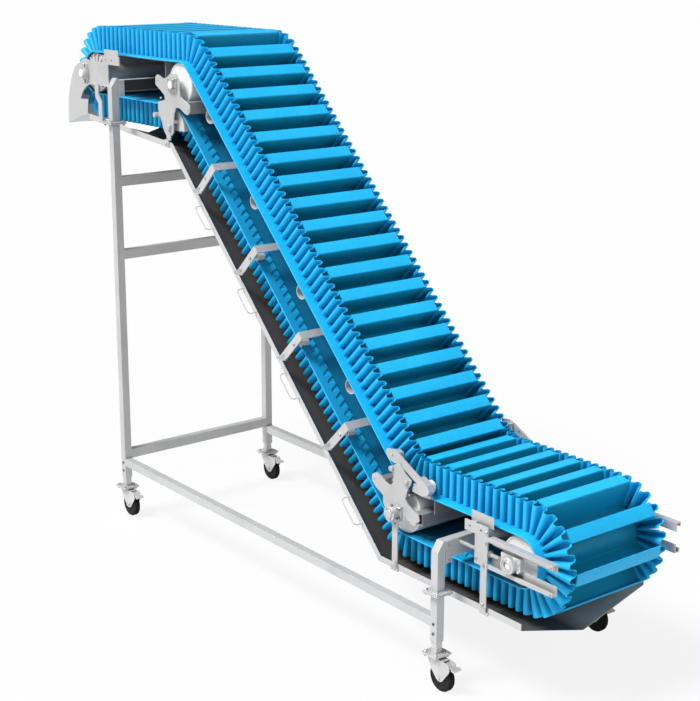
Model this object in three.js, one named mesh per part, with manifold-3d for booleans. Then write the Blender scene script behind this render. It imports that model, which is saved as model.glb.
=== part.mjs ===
// Swan-neck (Z-type) incline belt conveyor: a cleated belt with corrugated sidewalls on a
// wheeled steel stand. Millimetres, +Z up, +X towards the infeed end, -Y near side, +Y far side.
// Drawing frame: X = 0 at the head-end leg axes, Z = 0 at the underside of the base rails,
// Y = 0 on the centre plane. The machine group moves the origin to the floor, centred.
import * as THREE from "three";
import { mergeVertices } from "three/addons/utils/BufferGeometryUtils.js";
import Module from "manifold-3d";

const wasm = await Module();
wasm.setup();

// ---------------------------------------------------------------- driving dimensions
// A point is [x, z] unless said otherwise. A "sum" is the X + Z shared by a 45 degree line.
const CHUTE_X = -902; // head end of the object
const TIP_X = 3819; // infeed end of the object
const FLOOR_Z = -342;
const INCLINE = Math.PI / 4;
const LEG_Y = 573.65; // leg axes from the centre plane
const TUBE = 50; // square leg tube
const TUBE_HALF = TUBE / 2;
const LEG_INNER_Y = LEG_Y - TUBE_HALF; // leg faces towards the centre plane

const DRUM_R = 129.5; // all large drums
const DRUM_HALF = 380;
const HEAD = [-537, 2540]; // head (drive) drum axis
const BEND = [487.7, 2540]; // upper bend drum axis
const TAIL = [3520, 443]; // tail (take-up) drum axis
const RETURN = [2634, 443]; // lower return drum axis
const SHOE = [425.6, 2270.3]; // centre of the quarter-round deflection shoes
const HOLD_ROLLER = [2824, 628]; // hold-down roller axis

const SUPPORT_X = [778, 1231, 1684, 2137]; // tubes that carry the belt on the incline
const SUPPORT_SUM = 3148;
const SUPPORT_R = 44.5;

// Distances from the centre plane.
const PLATE_IN = 428; // bend plates
const PLATE_OUT = PLATE_IN + 8;
const END_IN = 455; // end plates
const END_OUT = END_IN + 8;
const ROD_Y = END_IN - 9; // tension rods of the take-up
const PAN_Y = 450; // outer faces of the pans

// Leg at each end: axis, joint between lower and upper leg, top of the post's outer face, and
// the cross channel's height range, hollow (from the leg axis) and solid length at its ends.
const ENDS = [
  {
    name: "head", x: 0, jointZ: 2275, postTop: 2497,
    channelZ: [2461, 2538], hollowX: [5 - TUBE_HALF, TUBE_HALF + 1], solidEnd: 8,
  },
  {
    name: "infeed", x: 3123, jointZ: 192, postTop: 415,
    channelZ: [373, 468], hollowX: [-TUBE_HALF - 1, TUBE_HALF - 5], solidEnd: 60,
  },
];
const [HEAD_END, INFEED_END] = ENDS;

// ---------------------------------------------------------------- intervals and points
const about = (middle, half) => [middle - half, middle + half];
const across = (half) => about(0, half);
const inset = ([low, high], wall) => [low + wall, high - wall];
// Y interval on one side (-1 near, +1 far), from distances to the centre plane.
const span = (side, inner, outer) => (side < 0 ? [-outer, -inner] : [inner, outer]);
// Y interval of a part that stands out from a plate's face and is sunk 1 into it.
const proud = (side, face, height) => span(side, face - 1, face + height);
const bothSides = (make) => [-1, 1].map((side) => make(side));
const onIncline = (sum, x) => [x, sum - x];
const shift = ([x, z], dx, dz) => [x + dx, z + dz];
const radians = (degrees) => (degrees * Math.PI) / 180;
const polar = ([x, z], radius, angle) => [
  x + radius * Math.cos(angle),
  z + radius * Math.sin(angle),
];

// ---------------------------------------------------------------- solids
function solid(geometry) {
  const source = geometry.index ? geometry.toNonIndexed() : geometry;
  const bare = new THREE.BufferGeometry();
  bare.setAttribute("position", source.getAttribute("position"));
  const merged = mergeVertices(bare, 1e-4);
  return new wasm.Manifold(
    new wasm.Mesh({
      numProp: 3,
      vertProperties: new Float32Array(merged.attributes.position.array),
      triVerts: new Uint32Array(merged.index.array),
    }),
  );
}
function geometryOf(shape) {
  const mesh = shape.getMesh();
  return new THREE.BufferGeometry()
    .setAttribute("position", new THREE.BufferAttribute(new Float32Array(mesh.vertProperties), 3))
    .setIndex(new THREE.BufferAttribute(new Uint32Array(mesh.triVerts), 1));
}
const join = (...shapes) => shapes.flat(Infinity).reduce((sum, next) => sum.add(next));
const cut = (body, ...tools) => tools.flat(Infinity).reduce((rest, t) => rest.subtract(t), body);

function box([x0, x1], [y0, y1], [z0, z1]) {
  const geometry = new THREE.BoxGeometry(x1 - x0, y1 - y0, z1 - z0);
  geometry.translate((x0 + x1) / 2, (y0 + y1) / 2, (z0 + z1) / 2);
  return solid(geometry);
}
const shapeOf = (points) => new THREE.Shape(points.map(([a, b]) => new THREE.Vector2(a, b)));
const extrude = (points, depth) =>
  new THREE.ExtrudeGeometry(shapeOf(points), { depth, bevelEnabled: false });
// Outline of [x, z] points, thickened along Y.
function prism(outline, [y0, y1]) {
  const geometry = extrude(outline, y1 - y0);
  geometry.rotateX(Math.PI / 2);
  geometry.translate(0, y1, 0);
  return solid(geometry);
}
// Outline of [y, z] points, run along X.
function prismAlongX(outline, [x0, x1]) {
  const geometry = extrude(outline, x1 - x0);
  geometry.applyMatrix4(
    new THREE.Matrix4().set(0, 0, 1, x0, 1, 0, 0, 0, 0, 1, 0, 0, 0, 0, 0, 1),
  );
  return solid(geometry);
}
// Cylinder along Y.
function rod([x, z], radius, [y0, y1], segments = 20) {
  const geometry = new THREE.CylinderGeometry(radius, radius, y1 - y0, segments);
  geometry.translate(x, (y0 + y1) / 2, z);
  return solid(geometry);
}
// Cylinder on the Z axis.
function post(radius, [z0, z1]) {
  const geometry = new THREE.CylinderGeometry(radius, radius, z1 - z0, 20);
  geometry.rotateX(Math.PI / 2);
  geometry.translate(0, 0, (z0 + z1) / 2);
  return solid(geometry);
}
// Cylinder along X on the line of one side's tension rod.
function tensionRod(side, radius, [x0, x1]) {
  const geometry = new THREE.CylinderGeometry(radius, radius, x1 - x0, 12);
  geometry.rotateZ(Math.PI / 2);
  geometry.translate((x0 + x1) / 2, side * ROD_Y, TAIL[1]);
  return solid(geometry);
}
// Cutter for a hole through the plates of one side.
const hole = (centre, radius, side) => rod(centre, radius, span(side, 300, 560), 16);
const rodHole = (side, xs) => tensionRod(side, 10.8, xs);
// Turns a solid in the X-Z plane (a positive angle lifts +X), then moves its origin to (x, z).
const lean = (shape, [x, z], angle) =>
  shape.rotate([0, (-angle * 180) / Math.PI, 0]).translate([x, 0, z]);

// ---------------------------------------------------------------- meshes
const LOOK = {
  steel: { color: 0xc9cbcc, roughness: 0.45, metalness: 0.35 },
  drum: { color: 0xf2f2f0, roughness: 0.3, metalness: 0.1 },
  belt: { color: 0x1b9be8, roughness: 0.55, metalness: 0 },
  pan: { color: 0x4c4d4f, roughness: 0.5, metalness: 0.4 },
  tyre: { color: 0x151516, roughness: 0.6, metalness: 0 },
  zinc: { color: 0xb4b7ba, roughness: 0.35, metalness: 0.8 },
};
const machine = new THREE.Group();
function add(name, shape, look = "steel", parent = machine) {
  const mesh = new THREE.Mesh(geometryOf(shape), new THREE.MeshStandardMaterial(LOOK[look]));
  mesh.name = name;
  parent.add(mesh);
}
// The same piece on both sides of the centre plane.
function pair(name, make, look) {
  add(name + "_near", make(-1), look);
  add(name + "_far", make(1), look);
}

// ---------------------------------------------------------------- belt path
const BELT_HALF = 400;
const BELT_T = 8; // belt carcass
const WALL = { inner: 300, outer: 350, height: 160 }; // corrugated sidewall band
const CLEAT = { pitch: 161, thickness: 12, height: 150, lip: 66, phase: 54 };
const BACK_R = DRUM_R + 1.5; // belt back on a drum
const HOLD_BACK_R = 300 + BELT_T; // carrying run at the foot of the incline
const DEFLECT_BACK_R = 260 + BELT_T; // return run at the top of the incline
const CARRY_SUM = 3213; // back of the carrying run on the incline
const RETURN_SUM = 2892; // back of the return run on the incline
const HOLD_Z = TAIL[1] + BACK_R + HOLD_BACK_R;
const HOLD = [CARRY_SUM + HOLD_BACK_R * Math.SQRT2 - HOLD_Z, HOLD_Z];
const DEFLECT_Z = BEND[1] - BACK_R - DEFLECT_BACK_R;
const DEFLECT = [RETURN_SUM - DEFLECT_BACK_R * Math.SQRT2 - DEFLECT_Z, DEFLECT_Z];
// Bends in running order: centre, radius of the belt's back, outward +1 where the back is on
// the inside of the bend, first and last angle in degrees, steps.
const BENDS = [
  { centre: BEND, radius: BACK_R, outward: 1, from: 90, to: 45, steps: 4 },
  { centre: HOLD, radius: HOLD_BACK_R, outward: -1, from: 225, to: 270, steps: 5 },
  { centre: TAIL, radius: BACK_R, outward: 1, from: 90, to: -90, steps: 12 },
  { centre: RETURN, radius: BACK_R, outward: 1, from: 270, to: 225, steps: 4 },
  { centre: DEFLECT, radius: DEFLECT_BACK_R, outward: -1, from: 45, to: 90, steps: 5 },
  { centre: HEAD, radius: BACK_R, outward: 1, from: 270, to: 90, steps: 12 },
];
// Point of a bend at a fraction of its angle and a height above the belt's back.
function bendPoint(bend, fraction, height) {
  const angle = radians(bend.from + (bend.to - bend.from) * fraction);
  return polar(bend.centre, bend.radius + bend.outward * height, angle);
}
// Closed outline at a height above the belt's back.
const beltLoop = (height) =>
  BENDS.flatMap((bend) =>
    Array.from({ length: bend.steps + 1 }, (_, i) => bendPoint(bend, i / bend.steps, height)),
  );
const beltRing = (low, high, [y0, y1]) =>
  prism(beltLoop(high), [y0, y1]).subtract(prism(beltLoop(low), [y0 - 5, y1 + 5]));

// Height near the middle of the sidewalls, where the cleats keep their pitch.
const NEUTRAL = 84;
// The path at that height: each bend, then the straight to the next one.
const PATH = BENDS.flatMap((bend, i) => {
  const radius = bend.radius + bend.outward * NEUTRAL;
  const start = bendPoint(bend, 1, NEUTRAL);
  const end = bendPoint(BENDS[(i + 1) % BENDS.length], 0, NEUTRAL);
  return [
    { bend, length: radius * radians(Math.abs(bend.to - bend.from)) },
    { start, end, length: Math.hypot(end[0] - start[0], end[1] - start[1]) },
  ];
});
const LOOP_LENGTH = PATH.reduce((total, part) => total + part.length, 0);
// Point at a distance along the path and a height above the belt's back.
function beltPoint(distance, height) {
  let rest = ((distance % LOOP_LENGTH) + LOOP_LENGTH) % LOOP_LENGTH;
  for (const { bend, start, end, length } of PATH) {
    if (rest > length) {
      rest -= length;
      continue;
    }
    if (bend) return bendPoint(bend, rest / length, height);
    const alongX = (end[0] - start[0]) / length;
    const alongZ = (end[1] - start[1]) / length;
    const rise = height - NEUTRAL;
    return shift(start, alongX * rest - alongZ * rise, alongZ * rest + alongX * rise);
  }
}

// ---------------------------------------------------------------- belt
// A hooked cleat: an upright web with a lip that reaches back over the pocket.
function cleat(distance) {
  const half = CLEAT.thickness / 2;
  const foot = BELT_T - 3;
  const top = BELT_T + CLEAT.height;
  // [distance along the belt, height above its back]
  const outline = [
    [half, foot], [half, top], [-CLEAT.lip / 2, top], [-CLEAT.lip, top - 3],
    [-CLEAT.lip, top - 11], [-CLEAT.lip / 2, top - 10], [-half, top - 12], [-half, foot],
  ];
  return prism(
    outline.map(([along, height]) => beltPoint(distance + along, height)),
    across(WALL.inner + 5),
  );
}
function conveyorBelt() {
  const count = Math.round(LOOP_LENGTH / CLEAT.pitch);
  return join(
    beltRing(0, BELT_T, across(BELT_HALF)),
    bothSides((side) =>
      beltRing(BELT_T - 1, BELT_T + WALL.height, span(side, WALL.inner, WALL.outer)),
    ),
    Array.from({ length: count }, (_, i) => cleat(CLEAT.phase + (i * LOOP_LENGTH) / count)),
  );
}
add("conveyor_belt", conveyorBelt(), "belt");

// ---------------------------------------------------------------- stand
const FLANGE_HALF = 56; // square flange and foot plates
const FLANGE_T = 8;
const BORE_HALF = 21.2; // bore for the telescopic tube
const TIE_Z = [47, 1398, 1871]; // undersides of the cross ties
const TIE_H = 62;

// Square column on a leg axis.
const column = (end, side, half, zs) => box(about(end.x, half), about(side * LEG_Y, half), zs);
const lowerLeg = (end, side) =>
  join(
    column(end, side, TUBE_HALF, [-84, end.jointZ - FLANGE_T]),
    column(end, side, FLANGE_HALF, [end.jointZ - FLANGE_T - 0.2, end.jointZ - 0.2]),
  );
const legBore = (end, side) => column(end, side, BORE_HALF, [-90, end.jointZ - 16]);

// Head-end stand: two long legs and three hollow cross ties.
function headLegFrame() {
  const ties = TIE_Z.map((z) =>
    box(across(TUBE_HALF - 1), across(LEG_INNER_Y + 2), [z, z + TIE_H]),
  );
  const hollows = TIE_Z.map((z) =>
    box(across(TUBE_HALF - 5), across(LEG_Y), inset([z, z + TIE_H], 4)),
  );
  return cut(
    join(bothSides((side) => lowerLeg(HEAD_END, side)), ties),
    bothSides((side) => legBore(HEAD_END, side)),
    hollows,
  );
}
// Each base rail is one piece with the short lower leg of its side.
function baseRail(side) {
  const ys = about(side * LEG_Y, TUBE_HALF);
  const zs = [0, TUBE];
  const legFace = INFEED_END.x - TUBE_HALF;
  return cut(
    join(lowerLeg(INFEED_END, side), box([TUBE_HALF + 0.4, legFace + 1], ys, zs)),
    legBore(INFEED_END, side),
    box([TUBE_HALF - 1, legFace - 4], inset(ys, 4), inset(zs, 4)),
  );
}
// Upper post with a flange foot and a head that slants down to its outer face.
function legPost(end, side) {
  const foot = end.jointZ + FLANGE_T;
  const inner = side * LEG_INNER_Y;
  const outer = side * (LEG_Y + TUBE_HALF);
  const peak = end.postTop + 54;
  const outline = [
    [outer, foot - 0.2], [inner, foot - 0.2], [inner, peak],
    [side * (LEG_INNER_Y + 14), peak], [outer, end.postTop],
  ];
  return cut(
    join(
      prismAlongX(outline, about(end.x, TUBE_HALF)),
      column(end, side, FLANGE_HALF, [end.jointZ + 0.2, foot]),
    ),
    column(end, side, BORE_HALF, [end.jointZ - 1, end.postTop - 6]),
  );
}
// Cross channel between the upper posts, inside the belt loop, with bolting angles on its
// +X face. The head channel is open towards +X, the infeed channel towards -X.
function crossChannel(end) {
  const half = LEG_INNER_Y - 0.4;
  const [bottom, top] = end.channelZ;
  const face = end.x + TUBE_HALF;
  return join(
    cut(
      box(about(end.x, TUBE_HALF), across(half), end.channelZ),
      box(end.hollowX.map((x) => end.x + x), across(half - end.solidEnd), inset(end.channelZ, 5)),
    ),
    bothSides((side) =>
      box([face - 1, face + 5], span(side, LEG_INNER_Y - 40, half), [bottom - 26, top]),
    ),
  );
}
add("head_leg_frame", headLegFrame());
pair("base_rail", baseRail);
for (const end of ENDS) pair(end.name + "_leg_post", (side) => legPost(end, side));
add("head_cross_channel", crossChannel(HEAD_END));
const rodPassage = [INFEED_END.x - TUBE_HALF - 5, INFEED_END.x + TUBE_HALF + 10];
add(
  "infeed_cross_channel",
  cut(crossChannel(INFEED_END), bothSides((side) => rodHole(side, rodPassage))),
);

// ---------------------------------------------------------------- telescopic feet and casters
// Drawn in each corner's own frame: X = Y = 0 on the leg axis.
const WHEEL_R = 80;
const AXLE = [50, FLOOR_Z + WHEEL_R];
const CHEEK = [
  [-34, -166], [-35, -190], [-8, -236], shift(AXLE, -20, -14), shift(AXLE, -8, -21),
  shift(AXLE, 10, -21), shift(AXLE, 24, -13), [122, -212], [126, -198], [123, -174], [112, -166],
];
// Half section of the wheel: [radius, half width]
const WHEEL_SECTION = [
  [9, 20], [26, 20], [30, 14], [60, 11], [66, 17.5], [76, 17.5], [WHEEL_R, 11],
];
const PEDAL_ARM = [[82, -180], [84, -172], [158, -184], [158, -190]];
const PEDAL_PAD = [[140, -190], [146, -180], [164, -186], [162, -194]];

function innerLeg() {
  const plate = (half, zs) => box(across(half), across(half), zs);
  return join(
    plate(20, [-146, 120]),
    plate(FLANGE_HALF, [-152, -144]),
    plate(FLANGE_HALF - 4, [-158, -151.5]),
    post(22, [-162, -157]),
  );
}
const casterFork = () =>
  join(
    post(40, [-178, -162.6]),
    box([-34, 76], across(25), [-170.5, -164]),
    bothSides((side) => prism(CHEEK, span(side, 21, 25.5))),
    rod(AXLE, 7.5, across(30), 12),
  );
function casterWheel() {
  const lower = WHEEL_SECTION.map(([radius, y]) => [radius, -y]);
  const profile = [...lower, ...[...WHEEL_SECTION].reverse(), lower[0]];
  const points = profile.map(([radius, y]) => new THREE.Vector2(radius, y));
  const geometry = new THREE.LatheGeometry(points, 24);
  geometry.translate(AXLE[0], 0, AXLE[1]);
  return solid(geometry);
}
const casterPedal = () =>
  join(
    rod([84, -176], 5, across(20.6), 10),
    prism(PEDAL_ARM, across(20)),
    prism(PEDAL_PAD, across(27)),
  );
function addCorner(end, side) {
  const corner = new THREE.Group();
  const word = end.name + (side < 0 ? "_near" : "_far");
  corner.position.set(end.x, side * LEG_Y, 0);
  machine.add(corner);
  add("leg_inner_" + word, innerLeg(), "zinc", corner);
  add("caster_fork_" + word, casterFork(), "zinc", corner);
  add("caster_wheel_" + word, casterWheel(), "tyre", corner);
  add("caster_pedal_" + word, casterPedal(), "zinc", corner);
}
for (const end of ENDS) bothSides((side) => addCorner(end, side));

// ---------------------------------------------------------------- drums, shoes, support tubes
// Hollow drum with a small vent in each end wall, on a through shaft.
function drum(centre, shaftHalf = 462, shaftR = 24) {
  const hollow = cut(
    rod(centre, DRUM_R - 6, across(DRUM_HALF - 8), 32),
    rod(centre, shaftR + 6, across(DRUM_HALF), 16),
  );
  const vents = bothSides((side) =>
    rod(shift(centre, 0, 88), 4, span(side, DRUM_HALF - 10, DRUM_HALF + 2), 8),
  );
  return join(
    cut(rod(centre, DRUM_R, across(DRUM_HALF), 32), hollow, vents),
    rod(centre, shaftR, across(shaftHalf), 16),
  );
}
// Quarter-round shoe at each free edge of the return run, on two pins.
function deflectionShoe(side) {
  const arc = Array.from({ length: 11 }, (_, i) => polar(SHOE, 118.6, radians(-6 + i * 10.2)));
  const pinY = span(side, 399, PLATE_IN - 0.3);
  return join(
    prism([shift(SHOE, -8, -16), ...arc], span(side, 356, 400)),
    rod(shift(SHOE, 42, 42), 13, pinY, 12),
    rod(shift(SHOE, 12, 12), 10, pinY, 10),
  );
}
// Open tube across the incline, under the belt.
function supportTube(x) {
  const axis = onIncline(SUPPORT_SUM, x);
  return cut(
    rod(axis, SUPPORT_R, across(365), 24),
    rod(axis, SUPPORT_R - 4.5, across(366), 24),
  );
}
add("head_drum", drum(HEAD, 506), "drum");
add("upper_bend_drum", drum(BEND), "drum");
add("lower_return_drum", drum(RETURN), "drum");
add("tail_drum", drum(TAIL, 476, 22), "drum");
pair("deflection_shoe", deflectionShoe);
SUPPORT_X.forEach((x, i) => add("support_tube_" + (i + 1), supportTube(x)));

// ---------------------------------------------------------------- bend plates
// Outlines are [x, z].
const UPPER_PLATE = [
  [285, 2574], [283, 2526], [336, 2498], [384, 2468], [388, 2441], [310, 2422], [308, 2385],
  [330, 2330], [352, 2290], [372, 2246], [398, 2222], [448, 2222], [474, 2246], [476, 2300],
  [488, 2368], [515, 2406], [560, 2402], [606, 2378], [640, 2369], [668, 2394], [670, 2428],
  [620, 2450], [566, 2470], [556, 2504], [560, 2560], [520, 2604], [462, 2606], [420, 2580],
  [372, 2566], [330, 2584], [306, 2588],
];
const LOWER_PLATE = [
  [2420, 594], [2420, 560], [2455, 529], [2489, 516], [2515, 501], [2516, 461], [2524, 446],
  [2559, 411], [2618, 398], [2658, 401], [2692, 415], [2725, 422], [2758, 402], [2790, 415],
  [2814, 445], [2805, 476], [2756, 489], [2715, 510], [2698, 533], [2706, 564], [2721, 602],
  [2737, 624], [2745, 648], [2695, 673], [2662, 708], [2653, 723], [2613, 706], [2571, 672],
  [2588, 654], [2601, 640], [2598, 600], [2581, 578], [2556, 576], [2522, 589], [2488, 608],
  [2454, 615],
];
const HOLD_BAR = [
  [2534, 772], [2528, 744], [2550, 718], [2596, 706], [2640, 712], [2800, 634], [2840, 640],
  [2850, 668], [2816, 676], [2664, 750], [2640, 764], [2590, 780],
];
const HOLD_BAR_SLOT = [[2664, 725], [2669, 735], [2786, 677], [2781, 667]];
const HOLD_SHOE = [
  [2800, 664], [2816, 690], [2884, 662], [2900, 630], [2882, 606], [2850, 600], [2806, 640],
];
const HOLD_BAR_HEAD = [2566, 737]; // pin at the bar's upper end
const HOLD_BAR_BOLTS = [[2588, 675], [2709, 631]];
const SHAFT_HOLE_R = 25.5;

// Bearing housing on the outer face of a bend plate.
const housing = ([x, z], side) =>
  join(
    box(about(x, 44), proud(side, PLATE_OUT, 10), about(z, 40)),
    rod([x, z], 34, span(side, PLATE_OUT + 9, PLATE_OUT + 22), 20),
  );

function upperBendPlate(side) {
  const plateY = span(side, PLATE_IN, PLATE_OUT);
  const strapX = [404, 450];
  return cut(
    join(
      prism(UPPER_PLATE, plateY),
      housing(BEND, side),
      rod(shift(SHOE, 12, 12), 20, proud(side, PLATE_OUT, 14), 16),
      // round boss on the head-side edge
      rod([289, 2341], 17, about(side * PLATE_OUT, 20), 14),
      box([289, 330], plateY, [2334, 2352]),
      // stepped strap that carries the end of the upper and incline pans
      box(strapX, proud(side, PLATE_OUT, 5), [2196, 2250]),
      box(strapX, span(side, PLATE_OUT - 1, PAN_Y + 8), [2196, 2202]),
      box(strapX, span(side, PAN_Y + 1, PAN_Y + 8), [2164, 2202]),
    ),
    hole(BEND, SHAFT_HOLE_R, side),
  );
}
function lowerBendPlate(side) {
  const strapX = [2620, 2664];
  return cut(
    join(
      prism(LOWER_PLATE, span(side, PLATE_IN, PLATE_OUT)),
      housing(RETURN, side),
      // flat bar down to the lower pan
      box(strapX, span(side, PLATE_OUT - 1, PAN_Y + 8), [404, 410]),
      box(strapX, span(side, PAN_Y + 1, PAN_Y + 8), [122, 410]),
      // hold-down bar with a block at its upper end and a shoe at its lower end
      prism(HOLD_BAR, span(side, PLATE_IN - 8, PLATE_IN + 1)),
      box([2560, 2628], span(side, PLATE_IN - 40, PLATE_IN - 4), [724, 768]),
      prism(HOLD_SHOE, span(side, PLATE_IN - 24, PLATE_IN + 18)),
      // disc and pin at the upper end, roller pin at the lower end
      rod(HOLD_BAR_HEAD, 24, span(side, 360, 392), 16),
      rod(HOLD_BAR_HEAD, 8, span(side, 356, PLATE_IN - 4), 12),
      rod(HOLD_ROLLER, 9, span(side, 356, PLATE_IN - 2), 12),
      HOLD_BAR_BOLTS.map((bolt) => rod(bolt, 16, proud(side, PLATE_OUT, 12), 14)),
    ),
    hole(RETURN, SHAFT_HOLE_R, side),
    prism(HOLD_BAR_SLOT, span(side, PLATE_IN - 10, PLATE_IN - 0.5)),
  );
}
// Roller on each free edge of the belt, at the foot of the incline.
const holdDownRoller = (side) =>
  cut(rod(HOLD_ROLLER, 33, span(side, 358, 398)), rod(HOLD_ROLLER, 10, span(side, 357, 399), 12));

pair("upper_bend_plate", upperBendPlate);
pair("lower_bend_plate", lowerBendPlate);
pair("hold_down_roller", holdDownRoller, "drum");

// ---------------------------------------------------------------- belt beds
const SPINE_Y = across(50);
const NOTCH_Y = across(60); // clearance of a spine over a cross channel
const RIB_Y = across(372);
const SHEET_Y = across(382);
const SQUARE_TUBE_Y = across(PLATE_IN - 0.3);
const SQUARE_BORE_Y = across(PLATE_IN);
const ROUND_TUBE_Y = across(END_IN - 0.5);

// Round cross tube, centre spine, rib and slider sheet.
function upperBed() {
  const tube = [-295, 2560];
  return cut(
    join(
      rod(tube, 48, ROUND_TUBE_Y),
      cut(box([tube[0], 330], SPINE_Y, [2504, 2592]), box(across(26), NOTCH_Y, [2490, 2539])),
      box([297, 303], RIB_Y, [2560, 2666]),
      box([-390, 335], SHEET_Y, [2664.5, 2670]),
    ),
    rod(tube, 44, across(END_IN)),
  );
}
// Two rails with a saddle for each support tube, then a square cross tube at either end.
// The rails are drawn flat, then leaned: X along the incline, Z outward from the tube axes.
function inclineBed() {
  const along = SUPPORT_X.map((x) => x * Math.SQRT2);
  const rails = bothSides((side) => {
    const railY = span(side, 185, 215);
    const saddles = along.map((x) => box(about(x, 34), railY, [-50, -20]));
    return [box([967, 3597], railY, [-75, -49]), saddles];
  });
  const seats = along.map((x) => rod([x, 0], SUPPORT_R + 0.5, across(240), 24));
  const tubes = [
    [[602, 662], [2376, 2446]],
    [[2462, 2522], [540, 592]],
  ];
  return cut(
    join(
      tubes.map(([xs, zs]) => box(xs, SQUARE_TUBE_Y, zs)),
      lean(cut(join(rails), seats), [0, SUPPORT_SUM], -INCLINE),
    ),
    tubes.map(([xs, zs]) => box(inset(xs, 4), SQUARE_BORE_Y, inset(zs, 4))),
  );
}
// Square and round cross tubes, centre spine, rib and slider sheet.
function lowerBed() {
  const tubeX = [2768, 2830];
  const tubeZ = [420, 482];
  const roundTube = [3330, 536];
  const notchX = [INFEED_END.x - 26, INFEED_END.x + 31];
  return cut(
    join(
      box(tubeX, SQUARE_TUBE_Y, tubeZ),
      cut(box([2780, roundTube[0]], SPINE_Y, [420, 508]), box(notchX, NOTCH_Y, [400, 469])),
      box([2857, 2863], RIB_Y, [480, 570]),
      box([2840, 3372], SHEET_Y, [567.5, 573]),
      rod(roundTube, 31, ROUND_TUBE_Y),
    ),
    box(inset(tubeX, 4), SQUARE_BORE_Y, inset(tubeZ, 4)),
    rod(roundTube, 27, across(END_IN)),
  );
}
add("upper_bed", upperBed());
add("incline_bed", inclineBed());
add("lower_bed", lowerBed());

// ---------------------------------------------------------------- end plates
// Outlines are [x, z]; the bearing's is measured from the head drum axis.
const HEAD_PLATE = [
  [-612, 2470], [-250, 2470], [-250, 2612], [-108, 2612], [-108, 2668], [-120, 2668],
  [-120, 2706], [-293, 2706], [-293, 2668], [-323, 2668], [-323, 2622], [-470, 2622],
  [-560, 2632], [-612, 2606],
];
const HEAD_BEARING = [
  [-22, -62], [-12, -70], [12, -70], [22, -62], [37, -22], [39, 0], [37, 22],
  [22, 62], [12, 70], [-12, 70], [-22, 62], [-37, 22], [-39, 0], [-37, -22],
];
const HEAD_PAN_BAR = [
  [-424, 2480], [-378, 2480], [-378, 2412], [-338, 2368],
  [-338, 2232], [-384, 2232], [-384, 2354], [-424, 2398],
];
const INFEED_PLATE = [
  [3194, 530], [3270, 530], [3270, 372], [3362, 372], [3362, 586], [3194, 586],
];

function headSidePlate(side) {
  const bearing = HEAD_BEARING.map(([dx, dz]) => shift(HEAD, dx, dz));
  return cut(
    join(
      prism(HEAD_PLATE, span(side, END_IN, END_OUT)),
      prism(bearing, proud(side, END_OUT, 11)),
      rod(HEAD, 36, span(side, END_OUT + 10, END_OUT + 24)),
      // bent flat bar down to the upper pan
      prism(HEAD_PAN_BAR, proud(side, END_OUT, 5)),
    ),
    hole(HEAD, SHAFT_HOLE_R, side),
    [-279, -205].map((x) => hole([x, 2640], 6, side)),
  );
}
// Slide rail of the take-up: web, flange and lip. The flange is at the bottom of the low rail
// and at the top of the high one.
function slideRail(side, [bottom, top], isLow) {
  const edge = (depth) => (isLow ? [bottom, bottom + depth] : [top - depth, top]);
  return join(
    box([3364, 3812], span(side, END_IN - 28, END_IN - 22), [bottom, top]),
    box([3364, 3812], span(side, END_IN - 28, END_OUT), edge(6)),
    box([3340, 3812], span(side, END_IN, END_OUT), edge(22)),
  );
}
function infeedSidePlate(side) {
  return cut(
    join(
      prism(INFEED_PLATE, span(side, END_IN, END_OUT)),
      slideRail(side, [490, 536], false),
      slideRail(side, [372, 420], true),
      // belt edge guard and its tab
      box([3214, 3374], span(side, END_IN - 24, END_IN - 20), [572, 634]),
      box([3230, 3262], span(side, END_IN - 21, END_IN + 1), [574, 584]),
      // flat bar down to the lower pan
      box([3322, 3366], proud(side, END_OUT, 5), [158, 392]),
    ),
    [3232, 3312].map((x) => hole([x, 558], 6.5, side)),
    rodHole(side, [3180, 3400]),
  );
}
// Bearing block in the slide rails with its tension rod.
const takeUpBlock = (side) =>
  cut(
    join(
      box(about(TAIL[0], 68), span(side, END_IN - 21, END_IN + 1), [421, 489]),
      rod(TAIL, 46, span(side, END_IN - 21, END_IN + 22)),
      tensionRod(side, 10, [3120, 3454]),
    ),
    hole(TAIL, 23.5, side),
  );

pair("head_side_plate", headSidePlate);
pair("infeed_side_plate", infeedSidePlate);
pair("take_up_block", takeUpBlock);

// ---------------------------------------------------------------- straps on the incline
// Drawn flat, then leaned: X along the incline, Z outward, Z = 0 on the web's outer face.
const STRAP_X = [932, 1357, 1782, 2207]; // straps' origins
const STRAP_SUM = 3041;
const STRAP_W = 48;
const STRAP_T = 6;
const STRAP_DROP = 232;
const EDGE_ROLLER = [STRAP_W / 2, -85];

function strapBar() {
  const xs = [-4, STRAP_W - 4];
  const inner = PAN_Y + 1;
  const outer = inner + STRAP_T;
  return join(
    box(xs, across(outer), [-STRAP_T, 0]),
    bothSides((side) => box(xs, span(side, inner, outer), [-STRAP_DROP, 0])),
  );
}
// Edge roller of the return run on its pin, with an angle bracket.
function edgeRoller(side) {
  const [x, z] = EDGE_ROLLER;
  return join(
    rod(EDGE_ROLLER, 8, span(side, 398, PAN_Y + 2), 10),
    rod(EDGE_ROLLER, 20, span(side, 362, 400), 14),
    box(about(x, 17), span(side, 404, 408), [z - 22, z + 34]),
    box(about(x, 17), span(side, 404, PAN_Y + 2), [z + 30, z + 34]),
  );
}
STRAP_X.forEach((x, i) => {
  // the top strap has no edge rollers
  const strap = i === 0 ? strapBar() : join(strapBar(), bothSides(edgeRoller));
  add("hanger_strap_" + (i + 1), lean(strap, onIncline(STRAP_SUM, x), -INCLINE));
});

// ---------------------------------------------------------------- pans
// V-bottomed trays under the return run. Positions are those of the flange foot.
const PAN_FLANGE = 35;
const PAN_V = 127; // depth of the V
const PAN_T = 3;
const PAN_SUM = 2618.5;
const PAN_INNER_Y = PAN_Y - PAN_T;
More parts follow.
